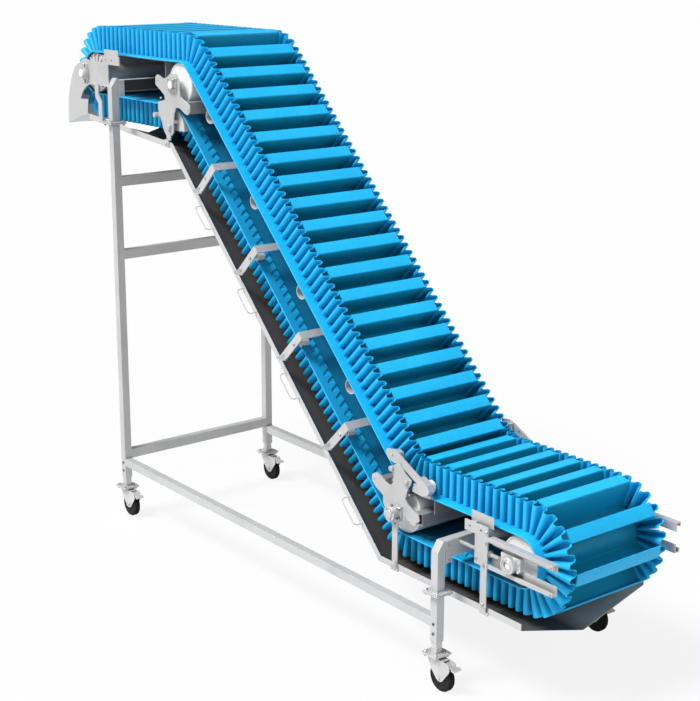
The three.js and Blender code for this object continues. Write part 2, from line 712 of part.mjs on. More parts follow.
// [y, height above the flange foot]
const TRAY = [
  [-PAN_Y, PAN_FLANGE], [-PAN_Y, 0], [0, -PAN_V], [PAN_Y, 0], [PAN_Y, PAN_FLANGE],
  [PAN_INNER_Y, PAN_FLANGE], [PAN_INNER_Y, PAN_T * 0.7], [0, -PAN_V + PAN_T * 1.04],
  [-PAN_INNER_Y, PAN_T * 0.7], [-PAN_INNER_Y, PAN_FLANGE],
];
const TOP_PAN_SLOPE = -0.0855; // rise over run
const TOP_PAN_ANGLE = Math.atan(TOP_PAN_SLOPE);
const TOP_PAN_Z = 2192; // at x = 0
const LOW_CORNER = [PAN_SUM - 118, 118];
const TOP_CORNER = onIncline(PAN_SUM, (PAN_SUM - TOP_PAN_Z) / (1 + TOP_PAN_SLOPE));
const LOW_MITRE = -INCLINE / 2;
const TOP_MITRE = (TOP_PAN_ANGLE - INCLINE) / 2;
const HANDLE_X = [850, 1280, 1700, 2280];

const tray = (origin, angle, run) => lean(prismAlongX(TRAY, run), origin, angle);
// Cutter for all that lies past a mitre plane towards +X (toward 1) or -X (toward -1),
// which also takes 0.3 before the plane as a gap.
const beyond = (corner, angle, toward) =>
  lean(box(about(toward * 1499.7, 1500), across(700), across(1500)), corner, angle);

// Wire handle that stands out from the side of the incline pan.
function handle(x, side) {
  const half = 85;
  const wireR = 4;
  const points = [
    [-half, 0, 0], [-half, 38, -6], [14 - half, 52, -8],
    [half - 14, 52, -8], [half, 38, -6], [half, 0, 0],
  ].map(([along, out, up]) => new THREE.Vector3(along, side * out, up));
  const section = Array.from({ length: 6 }, (_, i) => polar([0, 0], wireR, (i * Math.PI) / 3));
  const geometry = new THREE.ExtrudeGeometry(shapeOf(section), {
    steps: 14,
    extrudePath: new THREE.CatmullRomCurve3(points, false, "catmullrom", 0.05),
    bevelEnabled: false,
  });
  geometry.rotateY(INCLINE);
  geometry.translate(x + 16, side * (PAN_Y - 1), PAN_SUM - x + 16);
  return solid(geometry);
}
const inclinePan = () =>
  join(
    cut(
      tray(LOW_CORNER, -INCLINE, [-3200, 300]),
      beyond(LOW_CORNER, LOW_MITRE, 1),
      beyond(TOP_CORNER, TOP_MITRE, -1),
    ),
    HANDLE_X.map((x) => bothSides((side) => handle(x, side))),
  );
const lowerPan = () =>
  cut(tray(LOW_CORNER, 0, [-400, 3603 - LOW_CORNER[0]]), beyond(LOW_CORNER, LOW_MITRE, -1));
const upperPan = () =>
  cut(tray(TOP_CORNER, TOP_PAN_ANGLE, [-1010, 300]), beyond(TOP_CORNER, TOP_MITRE, 1));

add("incline_pan", inclinePan(), "pan");
add("lower_pan", lowerPan(), "pan");
add("upper_pan", upperPan(), "pan");

// ---------------------------------------------------------------- discharge chute
const CHUTE_Y = 412; // outer faces of the sides
const CHUTE_T = 3;
// [x, z] from the foot of the front plate upwards
const CHUTE_FRONT = [
  [CHUTE_X, 2179], [CHUTE_X + 3, 2270], [CHUTE_X + 17, 2363], [CHUTE_X + 36, 2420],
  [CHUTE_X + 57, 2468],
];
const CHUTE_SIDE = [
  ...CHUTE_FRONT, [-822, 2510], [-790, 2556], [-750, 2582], [-704, 2595], [-568, 2603],
  [-580, 2459], [-632, 2446], [-672, 2420], [-704, 2388], [-722, 2354], [-619, 2358],
  [-636, 2266],
];
// The lower part of each side is folded inwards along a rising line.
// Corners are [x, distance from the centre plane, z].
const GUSSET = [
  [CHUTE_X + 0.9, CHUTE_Y - 0.4, 2182], [-639, CHUTE_Y - 0.4, 2270], [-848, 236, 2180.5],
];
const GUSSET_T = 2.1;

const gusset = (side) =>
  wasm.Manifold.hull(
    GUSSET.flatMap(([x, y, z]) => [0, GUSSET_T].map((depth) => [x, side * (y - depth), z])),
  );
function dischargeChute() {
  const frontInner = CHUTE_FRONT.map((point) => shift(point, CHUTE_T, 0)).reverse();
  return join(
    prism([...CHUTE_FRONT, ...frontInner], across(CHUTE_Y)),
    bothSides((side) => [
      prism(CHUTE_SIDE, span(side, CHUTE_Y - CHUTE_T, CHUTE_Y)),
      // spacer out to the head side plate
      box([-612, -582], span(side, CHUTE_Y - 1, END_IN - 0.3), [2560, 2590]),
      gusset(side),
    ]),
  );
}
add("discharge_chute", dischargeChute());

// ---------------------------------------------------------------- finish
const root = new THREE.Group();
root.name = "z_conveyor";
machine.position.set(-(CHUTE_X + TIP_X) / 2, 0, -FLOOR_Z);
root.add(machine);
export default root;
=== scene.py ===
"""Z-shaped conveyor with a pleated-wall cleated belt on a wheeled stand.

The belt enters low at the +X end, climbs the incline and leaves high at the -X end.
Sizes are millimetres in the drawing frame: X = 0 at the head-end legs, Y = 0 on the centre
plane, Z = 0 under the base rails. point() turns them into metres in the row frame, where
the floor is Z = 0. The near side is -Y and the far side is +Y.
"""
import math
from itertools import product

import bmesh
import bpy
import numpy as np
from mathutils import Matrix, Vector


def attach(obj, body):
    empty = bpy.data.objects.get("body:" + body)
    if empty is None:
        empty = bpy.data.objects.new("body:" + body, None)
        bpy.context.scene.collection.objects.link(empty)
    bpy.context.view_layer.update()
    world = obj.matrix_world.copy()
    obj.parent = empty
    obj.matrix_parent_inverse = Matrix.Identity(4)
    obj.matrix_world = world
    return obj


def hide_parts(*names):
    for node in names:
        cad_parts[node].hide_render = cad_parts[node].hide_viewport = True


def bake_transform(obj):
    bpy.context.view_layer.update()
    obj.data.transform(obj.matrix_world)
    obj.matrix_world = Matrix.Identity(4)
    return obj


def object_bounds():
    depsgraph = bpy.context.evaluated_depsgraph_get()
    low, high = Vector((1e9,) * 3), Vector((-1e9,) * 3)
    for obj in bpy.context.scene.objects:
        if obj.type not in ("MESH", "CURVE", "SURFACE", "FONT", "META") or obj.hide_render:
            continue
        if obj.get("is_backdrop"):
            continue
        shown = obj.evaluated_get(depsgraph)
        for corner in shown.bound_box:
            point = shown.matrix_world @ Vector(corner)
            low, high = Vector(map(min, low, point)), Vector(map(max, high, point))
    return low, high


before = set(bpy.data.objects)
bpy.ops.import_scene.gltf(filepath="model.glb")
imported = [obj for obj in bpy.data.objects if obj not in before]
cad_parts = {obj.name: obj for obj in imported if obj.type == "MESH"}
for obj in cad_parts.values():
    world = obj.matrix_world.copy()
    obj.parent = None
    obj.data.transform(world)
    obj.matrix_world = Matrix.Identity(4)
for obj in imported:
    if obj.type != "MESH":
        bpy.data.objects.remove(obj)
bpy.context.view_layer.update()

ROW_X = 1458.5  # drawing X of the row frame's origin
FLOOR_DEPTH = 342.0  # floor below the drawing's Z = 0
ROOT2 = math.sqrt(2)

HEAD, BEND, TAIL, RETURN = (-537, 2540), (487.7, 2540), (3520, 443), (2634, 443)  # drum x, z
LEG_X, LEG_Y = (0, 3123), 573.65
SIDES = {-1: "near", 1: "far"}
CORNERS = list(product((-1, 1), repeat=2))
ALONG, UP = Vector((1, 0, 0)), Vector((0, 0, 1))


def point(x, y, z):
    return Vector(((x - ROW_X) / 1000, y / 1000, (z + FLOOR_DEPTH) / 1000))


def outward(side):
    return Vector((0, side, 0))


# ------------------------------------------------------------------ shader graphs
class Graph:
    """Node tree of a material or a world, emptied down to its output node."""

    def __init__(self, owner, output="OutputMaterial"):
        owner.use_nodes = True
        self.owner = owner
        self.tree = owner.node_tree
        self.tree.nodes.clear()
        self.output = self.node(output)

    def feed(self, socket, value):
        if isinstance(value, bpy.types.NodeSocket):
            self.tree.links.new(value, socket)
        else:
            socket.default_value = value

    def node(self, kind, sockets=None, **settings):
        node = self.tree.nodes.new("ShaderNode" + kind)
        for key, value in settings.items():
            setattr(node, key, value)
        for key, value in (sockets or {}).items():
            self.feed(node.inputs[key], value)
        return node

    def set_base(self, colour):
        self.base = colour
        self.feed(self.surface.inputs["Base Color"], colour)

    def ramp(self, source, stops):
        node = self.node("ValToRGB", {0: source})
        elements = node.color_ramp.elements
        while len(elements) > 1:
            elements.remove(elements[-1])
        elements[0].position, elements[0].color = stops[0]
        for position, colour in stops[1:]:
            elements.new(position).color = colour
        return node.outputs[0]

    def mix(self, factor, first, second, mode="MIX"):
        sockets = {0: factor, 6: first, 7: second}
        return self.node("Mix", sockets, data_type="RGBA", blend_type=mode).outputs[2]

    def coords(self, scale=(1, 1, 1)):
        source = self.node("TexCoord").outputs["Object"]
        return self.node("Mapping", {"Vector": source, "Scale": scale}).outputs[0]

    def noise(self, vector, scale, detail=4, roughness=0.5, distortion=0.0):
        sockets = {"Vector": vector, "Scale": scale, "Detail": detail}
        sockets.update({"Roughness": roughness, "Distortion": distortion})
        return self.node("TexNoise", sockets).outputs[0]

    def bump(self, layers):
        """Chains height sources: (socket, strength, distance in metres)."""
        normal = None
        for height, strength, distance in layers:
            sockets = {"Height": height, "Strength": strength, "Distance": distance}
            if normal is not None:
                sockets["Normal"] = normal
            normal = self.node("Bump", sockets).outputs[0]
        self.feed(self.surface.inputs["Normal"], normal)

    def edge_mask(self, radius=0.004, start=0.02, full=0.25):
        """1 on edges and in creases, from the angle between bevelled and true normals."""
        bevelled = self.node("Bevel", {"Radius": radius}, samples=4).outputs[0]
        true = self.node("NewGeometry").outputs["Normal"]
        dot = self.node("VectorMath", {0: bevelled, 1: true}, operation="DOT_PRODUCT")
        sockets = {"Value": dot.outputs["Value"], "From Min": 1 - start, "From Max": 1 - full}
        return self.node("MapRange", sockets).outputs[0]

    def occlusion(self, distance):
        return self.node("AmbientOcclusion", {"Distance": distance}, samples=6).outputs["AO"]

    def axis(self, vector, letter):
        return self.node("SeparateXYZ", {0: vector}).outputs[letter]

    def object_y(self):
        return self.axis(self.node("TexCoord").outputs["Object"], "Y")

    def math(self, operation, *values):
        return self.node("Math", dict(enumerate(values)), operation=operation).outputs[0]


def principled(name):
    graph = Graph(bpy.data.materials.new(name))
    graph.surface = graph.node("BsdfPrincipled")
    graph.feed(graph.output.inputs[0], graph.surface.outputs[0])
    return graph


def grey(value):
    return (value, value, value, 1)


def scaled(colour, factor, lift=0.0):
    return tuple(min(1, c * factor + lift) for c in colour) + (1,)


# ------------------------------------------------------------------ materials
def steel(name, base, rough, metal, grain=(1, 1, 1), dirt=0.10, speck=420.0, edge=1.12,
          fine_bump=0.12, specular=0.5):
    """Mottled sheet or cast part: brighter on edges, with painted shade in the corners.

    grain stretches the fine noise, speck is that noise's scale, edge brightens the edges.
    """
    graph = principled(name)
    vector = graph.coords()
    grain_vector = graph.coords(grain)
    big = graph.noise(vector, scale=2.3, detail=5, roughness=0.6, distortion=0.4)
    mid = graph.noise(vector, scale=26.0, detail=5, roughness=0.65, distortion=0.2)
    fine = graph.noise(grain_vector, scale=speck, detail=3, roughness=0.6)
    tones = [
        (0.30, scaled(base, 1 - dirt * 1.6)),
        (0.52, scaled(base, 1)),
        (0.74, scaled(base, 1 + dirt * 0.5)),
    ]
    tone = graph.ramp(big, tones)
    stain = graph.ramp(mid, [(0.36, grey(0.86)), (0.56, grey(1.0))])
    colour = graph.mix(dirt * 4.0, tone, stain, "MULTIPLY")
    colour = graph.mix(graph.edge_mask(), colour, scaled(base, edge, lift=0.03))
    # painted shade: ambient occlusion darkens the corners and creases
    crease_shade_tones = [(0.12, (0.40, 0.39, 0.38, 1)), (0.55, (0.90, 0.895, 0.89, 1)), (0.85, grey(1))]
    painted_crease_shade = graph.ramp(graph.occlusion(distance=0.045), crease_shade_tones)
    graph.set_base(graph.mix(1.0, colour, painted_crease_shade, "MULTIPLY"))
    roughness = graph.ramp(mid, [(0.3, grey(rough - 0.07)), (0.7, grey(rough + 0.12))])
    graph.feed(graph.surface.inputs["Roughness"], roughness)
    graph.feed(graph.surface.inputs["Metallic"], metal)
    graph.feed(graph.surface.inputs["Specular IOR Level"], specular)
    graph.bump([(fine, fine_bump, 0.0004), (mid, 0.06, 0.0015)])
    return graph


def rubber(name, base, shade, fold):
    """Belt rubber. shade darkens the big patches; fold sets how much painted shade darkens the deep
    pockets.
    """
    graph = principled(name)
    vector = graph.coords()
    big = graph.noise(vector, scale=1.7, detail=5, roughness=0.6, distortion=0.6)
    mid = graph.noise(vector, scale=34.0, detail=6, roughness=0.62, distortion=0.3)
    fine = graph.noise(vector, scale=900.0, detail=3, roughness=0.55)
    tones = [
        (0.28, scaled(base, shade)),
        (0.5, scaled(base, 1)),
        (0.75, scaled(base, 1.10, lift=0.004)),
    ]
    tone = graph.ramp(big, tones)
    scuff = graph.ramp(mid, [(0.34, grey(0.88)), (0.52, grey(1.0)), (0.80, grey(1.06))])
    colour = graph.mix(0.5, tone, scuff, "MULTIPLY")
    wear = graph.edge_mask(radius=0.003, start=0.03, full=0.35)
    colour = graph.mix(wear, colour, scaled(base, 1.25, lift=0.02))
    # painted shade: from ambient occlusion, deep folds and pockets are darker and less saturated
    pocket_shade_tones = [
        (0.10, (0.48, 0.38, 0.29, 1)),
        (0.34, (0.68, 0.62, 0.53, 1)),
        (0.66, (0.98, 0.97, 0.96, 1)),
        (1.0, grey(1)),
    ]
    painted_pocket_shade = graph.ramp(graph.occlusion(distance=0.16), pocket_shade_tones)
    graph.set_base(graph.mix(fold, colour, painted_pocket_shade, "MULTIPLY"))
    roughness = graph.ramp(mid, [(0.3, grey(0.40)), (0.72, grey(0.56))])
    graph.feed(graph.surface.inputs["Roughness"], roughness)
    graph.feed(graph.surface.inputs["Specular IOR Level"], 0.42)
    graph.bump([(fine, 0.10, 0.0003), (mid, 0.07, 0.0012)])
    return graph


finish = {
    "belt": rubber("belt_rubber_blue", (0.010, 0.495, 0.93), shade=0.94, fold=0.6),
    # web: a darker copy of the belt rubber for the pocket floors and cleat webs, painted shade
    "web": rubber("belt_pocket_painted_shade", (0.006, 0.372, 0.600), shade=0.94, fold=0.95),
    # back: a darker copy of the belt rubber for the back's middle panel, painted shade from the run
    # above
    "back": rubber("belt_back_panel_painted_shade", (0.005, 0.175, 0.345), shade=0.92, fold=0.35),
    # rim: a darker copy of the belt rubber for the back's border, painted shade
    "rim": rubber("belt_back_rim_painted_shade", (0.008, 0.345, 0.66), shade=0.92, fold=0.6),
    "stand": steel("stand_satin_steel", (0.62, 0.625, 0.63), rough=0.40, metal=0.30, dirt=0.07),
    "plate": steel("plate_blasted_steel", (0.60, 0.60, 0.60), rough=0.44, metal=0.30,
                   dirt=0.08, speck=650.0),
    "strap": steel("strap_steel", (0.64, 0.635, 0.63), rough=0.40, metal=0.32, dirt=0.08),
    "chute": steel("chute_sheet", (0.60, 0.605, 0.61), rough=0.38, metal=0.35,
                   grain=(1, 6, 1), dirt=0.08),
    "grey": steel("bed_grey_steel", (0.36, 0.365, 0.37), rough=0.45, metal=0.35, dirt=0.12),
    "zinc": steel("zinc_plated", (0.70, 0.70, 0.70), rough=0.34, metal=0.45, speck=300.0),
    "bolt": steel("bolt_steel", (0.52, 0.52, 0.53), rough=0.28, metal=0.75,
                  dirt=0.12, speck=300.0),
    # pan: the tray's sheet darkened, painted shade inside the tray; its flange gets the plain steel
    # colour below
    "pan": steel("pan_sheet_painted_shade", (0.115, 0.105, 0.098), rough=0.50, metal=0.15,
                 grain=(1, 5, 1), dirt=0.12, speck=500.0, edge=1.3),
    # pan_low: its near slope gets painted shade below
    "pan_low": steel("pan_infeed_sheet_painted_shade", (0.60, 0.555, 0.51), rough=0.50, metal=0.15,
                     grain=(1, 5, 1), speck=500.0, edge=1.2),
    # hollow: painted shade inside the head channel, added below
    "hollow": steel("head_channel_steel_painted_shade", (0.60, 0.605, 0.61), rough=0.42, metal=0.20,
                    dirt=0.08),
    "white": steel("roller_white", (0.93, 0.93, 0.92), rough=0.30, metal=0.05, dirt=0.035,
                   speck=300.0, edge=1.02, fine_bump=0.04),
    "disc": steel("disc_plastic", (0.62, 0.62, 0.61), rough=0.42, metal=0.0, dirt=0.05),
    "tread": steel("tyre_tread_black", (0.006, 0.006, 0.006), rough=0.60, metal=0.0,
                   dirt=0.2, speck=380.0, edge=1.6, specular=0.18),
    "dark": steel("blackened_screw", (0.10, 0.10, 0.10), rough=0.40, metal=0.3,
                  dirt=0.12, speck=300.0),
    "hub": steel("wheel_hub_grey", (0.020, 0.020, 0.020), rough=0.55, metal=0.1,
                 dirt=0.12, speck=300.0, edge=1.4, specular=0.18),
}


def paint_shade_on_near_half(graph, near, half_blend):
    """Painted shade: the sheet is darkened on the near slope of the tray and not on the far one."""
    sockets = {"Value": graph.object_y(), "From Min": -half_blend, "From Max": half_blend}
    far_share = graph.node("MapRange", sockets).outputs[0]
    tone = graph.mix(far_share, near, grey(1))
    graph.set_base(graph.mix(1.0, graph.base, tone, "MULTIPLY"))


def plain_steel_rim(graph, beyond):
    """The outer face of the turned-up flange takes the plain steel colour over the sheet's base,
    which on the dark pan is painted shade; beyond is |Y| in metres.
    """
    distance = graph.math("ABSOLUTE", graph.object_y())
    outside = graph.math("GREATER_THAN", distance, beyond)
    graph.set_base(graph.mix(outside, graph.base, grey(0.60)))


def paint_shade_in_channel(graph, within):
    """Painted shade: faces turned to +X and closer than within (metres) to the centre plane are
    dark.
    """
    normal = graph.node("NewGeometry").outputs["Normal"]
    facing = graph.math("GREATER_THAN", graph.axis(normal, "X"), 0.55)
    distance = graph.math("ABSOLUTE", graph.object_y())
    inside = graph.math("LESS_THAN", distance, within)
    both = graph.math("MULTIPLY", facing, inside)
    graph.set_base(graph.mix(both, graph.base, (0.075, 0.072, 0.070, 1)))


paint_shade_on_near_half(finish["pan_low"], near=(0.19, 0.19, 0.195, 1), half_blend=0.06)
plain_steel_rim(finish["pan"], beyond=0.4476)
plain_steel_rim(finish["pan_low"], beyond=0.4476)
paint_shade_in_channel(finish["hollow"], within=0.505)


# ------------------------------------------------------------------ mesh builder
def add_bevel(obj, width):
    modifier = obj.modifiers.new("edge", "BEVEL")
    modifier.width = width / 1000
    modifier.segments = 2
    modifier.limit_method = "ANGLE"
    modifier.angle_limit = math.radians(30)
    modifier.harden_normals = False
    modifier.use_clamp_overlap = True


def local_frame(origin, x_axis, z_axis):
    """Millimetres on two axes in the XZ plane, and on Y, to metres about the origin."""
    return Matrix((
        (x_axis.x * 0.001, 0, z_axis.x * 0.001, origin.x),
        (0, 0.001, 0, origin.y),
        (x_axis.z * 0.001, 0, z_axis.z * 0.001, origin.z),
        (0, 0, 0, 1),
    ))


def spoke_frame(origin, angle):
    """Local frame whose x axis points out from the origin like a spoke."""
    radial = Vector((math.cos(angle), 0, math.sin(angle)))
    return local_frame(origin, radial, Vector((-radial.z, 0, radial.x)))


class MeshBuilder:
    """Collects solids. Positions are row-frame vectors, sizes are millimetres."""

    def __init__(self):
        self.verts, self.faces = [], []

    def add(self, verts, faces):
        start = len(self.verts)
        self.verts += [tuple(vert) for vert in verts]
        self.faces += [tuple(i + start for i in face) for face in faces]

    def lathe(self, base, axis, profile, segments=24, turn=0.0):
        """Solid of revolution from (radius, distance along the axis).

        The profile either starts and ends on the axis, or closes on itself to leave a bore.
        """
        axis = axis.normalized()
        across = axis.orthogonal().normalized()
        upright = axis.cross(across)
        closed = profile[0] == profile[-1]
        verts, faces, rows = [], [], []
        for radius, distance in profile[:-1] if closed else profile:
            centre = base + axis * (distance / 1000)
            if radius == 0:
                rows.append([len(verts)])
                verts.append(centre)
                continue
            rows.append([len(verts) + i for i in range(segments)])
            for i in range(segments):
                angle = 2 * math.pi * i / segments + turn
                spoke = across * math.cos(angle) + upright * math.sin(angle)
                verts.append(centre + spoke * (radius / 1000))
        pairs = list(zip(rows, rows[1:])) + ([(rows[-1], rows[0])] if closed else [])
        for low, high in pairs:
            for i in range(segments):
                j = (i + 1) % segments
                if len(low) == 1:
                    faces.append((low[0], high[j], high[i]))
                elif len(high) == 1:
                    faces.append((low[i], low[j], high[0]))
                else:
                    faces.append((low[i], low[j], high[j], high[i]))
        self.add(verts, faces)

    def cylinder(self, base, axis, radius, length, segments, chamfer):
        face = radius - chamfer
        profile = [(0, 0), (face, 0), (radius, chamfer), (radius, length - chamfer),
                   (face, length), (0, length)]
        self.lathe(base, axis, profile, segments)

    def hexagon(self, base, axis, radius, length, turn):
        """Hexagon head with a chamfered crown; radius is half the width across corners."""
        profile = [(0, 0), (radius, 0), (radius, length - 1), (radius - 1.3, length), (0, length)]
        self.lathe(base, axis, profile, 6, turn)

    def bolt(self, base, axis, size, turn, washer=True):
        """Washer and head standing on the face at base, pointing along the axis."""
        height = 0.0
        if washer:
            self.cylinder(base, axis, size, 1.6, 20, 0.3)
            height = 1.5
        self.hexagon(base + axis * (height / 1000), axis, size * 0.87, size * 0.62, turn)
        height += size * 0.62 - 0.6
        self.cylinder(base + axis * (height / 1000), axis, size * 0.42, 1.2, 12, 0.3)

    def nut(self, base, axis, size, turn, stud):
        """Washer, nut and the stud end that stands out of it."""
        height = size * 0.8
        self.cylinder(base, axis, size * 1.05, 1.8, 20, 0.3)
        profile = [(0, 0), (size * 0.9, 0), (size * 0.93, 1), (size * 0.93, height - 1),
                   (size * 0.8, height), (0, height)]
        self.lathe(base + axis * 0.0016, axis, profile, 6, turn)
        self.cylinder(base + axis * (height / 1000), axis, size * 0.5, stud, 14, 0.7)

    def box(self, x_span, y_span, z_span, chamfer, matrix=None):
        """Chamfered box in the drawing frame, or in its own frame if a matrix is given."""
        y_span = sorted(y_span)
        insets = ((0, chamfer, chamfer), (chamfer, 0, chamfer), (chamfer, chamfer, 0))
        verts, faces = [], []
        for i, j, k in product((0, 1), repeat=3):
            for dx, dy, dz in insets:
                x = x_span[i] + (1 - 2 * i) * dx
                y = y_span[j] + (1 - 2 * j) * dy
                z = z_span[k] + (1 - 2 * k) * dz
                verts.append(matrix @ Vector((x, y, z)) if matrix else point(x, y, z))

        def face(forward, *keys):
            """Each key is a corner i, j, k and the axis its vertex is not inset along."""
            loop = [12 * i + 6 * j + 3 * k + axis for i, j, k, axis in keys]
            faces.append(tuple(loop if forward else loop[::-1]))

        for i in (0, 1):
            face(i, (i, 0, 0, 0), (i, 1, 0, 0), (i, 1, 1, 0), (i, 0, 1, 0))
        for j in (0, 1):
            face(j, (0, j, 0, 1), (0, j, 1, 1), (1, j, 1, 1), (1, j, 0, 1))
        for k in (0, 1):
            face(k, (0, 0, k, 2), (1, 0, k, 2), (1, 1, k, 2), (0, 1, k, 2))
        # chamfers along X, Y and Z, then the corners
        for j, k in product((0, 1), repeat=2):
            face(j == k, (0, j, k, 1), (1, j, k, 1), (1, j, k, 2), (0, j, k, 2))
        for i, k in product((0, 1), repeat=2):
            face(i == k, (i, 0, k, 0), (i, 0, k, 2), (i, 1, k, 2), (i, 1, k, 0))
        for i, j in product((0, 1), repeat=2):
            face(i == j, (i, j, 0, 1), (i, j, 0, 0), (i, j, 1, 0), (i, j, 1, 1))
        for i, j, k in product((0, 1), repeat=3):
            face((i + j + k) % 2, (i, j, k, 0), (i, j, k, 1), (i, j, k, 2))
        self.add(verts, faces)

    def extrude(self, first, last, caps=None):
        """Joins two matching outlines; each end is one face unless caps are given."""
        n = len(first)
        caps = caps or [tuple(range(n)), tuple(range(2 * n - 1, n - 1, -1))]
        walls = [(i, n + i, n + (i + 1) % n, (i + 1) % n) for i in range(n)]
        self.add(first + last, caps + walls)

    def sweep(self, path, radius, segments=6):
        """Round wire along row-frame points."""
        n = len(path)
        verts, faces = [], []
        upright = None
        for i, centre in enumerate(path):
            tangent = (path[min(i + 1, n - 1)] - path[max(i - 1, 0)]).normalized()
            if upright is None:
                upright = tangent.orthogonal().normalized()
            upright = (upright - tangent * upright.dot(tangent)).normalized()
            across = tangent.cross(upright)
            for k in range(segments):
                angle = 2 * math.pi * k / segments
                spoke = upright * math.cos(angle) + across * math.sin(angle)
                verts.append(centre + spoke * (radius / 1000))
        for i in range(n - 1):
            low, high = i * segments, (i + 1) * segments
            for k in range(segments):
                j = (k + 1) % segments
                faces.append((low + k, low + j, high + j, high + k))
        faces.append(tuple(range(segments - 1, -1, -1)))
        faces.append(tuple(range((n - 1) * segments, n * segments)))
        self.add(verts, faces)

    def build(self, name, look, body, slot, sharp_angle=30, bevel=0.0):
        mesh = bpy.data.meshes.new(name)
        mesh.from_pydata(self.verts, [], self.faces)
        mesh.update()
        obj = bpy.data.objects.new(name, mesh)
        bpy.context.scene.collection.objects.link(obj)
        mesh.materials.append(finish[look].owner)
        work = bmesh.new()
        work.from_mesh(mesh)
        bmesh.ops.recalc_face_normals(work, faces=work.faces)
        work.to_mesh(mesh)
        work.free()
        for polygon in mesh.polygons:
            polygon.use_smooth = True
        mesh.set_sharp_from_angle(angle=math.radians(sharp_angle))
        if bevel:
            add_bevel(obj, bevel)
        if body:
            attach(obj, body)
        return obj


# ------------------------------------------------------------------ finishes of the CAD pieces
def dress(look, bevel, *name_parts):
    """Welds, bevels and finishes every CAD piece whose name holds one of the parts."""
    for name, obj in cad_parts.items():
        if not any(part in name for part in name_parts):
            continue
        obj.data.materials.clear()
        obj.data.materials.append(finish[look].owner)
        weld = obj.modifiers.new("weld", "WELD")
        weld.merge_threshold = 0.00002
        for polygon in obj.data.polygons:
            polygon.use_smooth = True
        add_bevel(obj, bevel)
        normals = obj.modifiers.new("normals", "WEIGHTED_NORMAL")
        normals.keep_sharp = True
        normals.weight = 100


dress("stand", 2.2, "head_leg_frame", "base_rail", "leg_post", "cross_channel")
# the head channel takes a second set of modifiers over the stand's, and its own material with
# painted shade inside
head_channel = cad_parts["head_cross_channel"]
dress("hollow", 1.5, head_channel.name if False else "head_cross_channel")
dress("plate", 1.2, "bend_plate", "side_plate")
dress("strap", 1.0, "hanger_strap")
dress("grey", 1.2, "_bed")
dress("pan", 0.8, "incline_pan", "upper_pan")
dress("pan_low", 0.8, "lower_pan")
dress("chute", 0.7, "discharge_chute")
dress("white", 1.5, "drum", "hold_down")
dress("strap", 0.8, "support_tube")
dress("disc", 1.2, "deflection_shoe")
dress("zinc", 1.0, "leg_inner", "caster_fork", "caster_pedal", "take_up")
dress("tread", 1.0, "caster_wheel")

# ------------------------------------------------------------------ belt path
BACK_RADIUS = 131.0  # of the belt's back round the drums
WALL_HEIGHT = 168.0
NEUTRAL = WALL_HEIGHT / 2  # the pattern keeps its pitch at this height above the back
BELT_THICKNESS = 8.0
HOLD_RADIUS = 300.0 + BELT_THICKNESS
DEFLECT_RADIUS = 260.0 + BELT_THICKNESS
INCLINE_TOP, INCLINE_BOTTOM = 3213, 2892  # x + z on the belt's back, upper and lower runs
hold_z = TAIL[1] + BACK_RADIUS + HOLD_RADIUS
HOLD_CENTRE = (INCLINE_TOP + HOLD_RADIUS * ROOT2 - hold_z, hold_z)
deflect_z = BEND[1] - BACK_RADIUS - DEFLECT_RADIUS
DEFLECT_CENTRE = (INCLINE_BOTTOM - DEFLECT_RADIUS * ROOT2 - deflect_z, deflect_z)
BENDS = [  # centre, radius of the back, +1 if the back is inside, start and end angle
    (BEND, BACK_RADIUS, 1, 90, 45),
    (HOLD_CENTRE, HOLD_RADIUS, -1, 225, 270),
    (TAIL, BACK_RADIUS, 1, 90, -90),
    (RETURN, BACK_RADIUS, 1, 270, 225),
    (DEFLECT_CENTRE, DEFLECT_RADIUS, -1, 45, 90),
    (HEAD, BACK_RADIUS, 1, 270, 90),
]


def bend_point(bend, degrees):
    """Point of the neutral line on a bend."""
    centre, radius, sense = bend[:3]
    reach = radius + sense * NEUTRAL
    angle = math.radians(degrees)
    return (centre[0] + reach * math.cos(angle), centre[1] + reach * math.sin(angle))


sections = []  # start, length, bend (None on a straight), straight's two ends
LOOP = 0.0  # length of the neutral line
for bend, following in zip(BENDS, BENDS[1:] + BENDS[:1]):
    _, radius, sense, start_angle, end_angle = bend
    length = (radius + sense * NEUTRAL) * math.radians(abs(end_angle - start_angle))
    sections.append((LOOP, length, bend, None))
    LOOP += length
    ends = (bend_point(bend, end_angle), bend_point(following, following[3]))
    length = math.dist(*ends)
    sections.append((LOOP, length, None, ends))
    LOOP += length


def follow(distance):
    """Neutral-line points, tangents, outward normals and curvatures at path lengths."""
    distance = np.mod(np.asarray(distance, float), LOOP)
    count = len(distance)
    points, tangents, normals = (np.zeros((count, 2)) for _ in range(3))
    curvature = np.zeros(count)
    for start, length, bend, ends in sections:
        mask = (distance >= start - 1e-9) & (distance <= start + length + 1e-9)
        share = (distance[mask] - start) / length
        if ends:
            first, last = np.array(ends[0]), np.array(ends[1])
            points[mask] = first + (last - first) * share[:, None]
            unit = (last - first) / np.linalg.norm(last - first)
            tangents[mask] = unit
            normals[mask] = (-unit[1], unit[0])
            curvature[mask] = 0
        else:
            centre, radius, sense, start_angle, end_angle = bend
            reach = radius + sense * NEUTRAL
            first, last = math.radians(start_angle), math.radians(end_angle)
            angle = first + (last - first) * share
            cos, sin = np.cos(angle), np.sin(angle)
            points[mask] = np.array(centre) + reach * np.stack([cos, sin], 1)
            normals[mask] = sense * np.stack([cos, sin], 1)
            tangents[mask] = np.stack([sense * sin, -sense * cos], 1)
            curvature[mask] = sense / reach
    return points, tangents, normals, curvature


def mean_curvature(distance, span):
    return follow(distance + np.linspace(-0.5, 0.5, 9) * span)[3].mean()


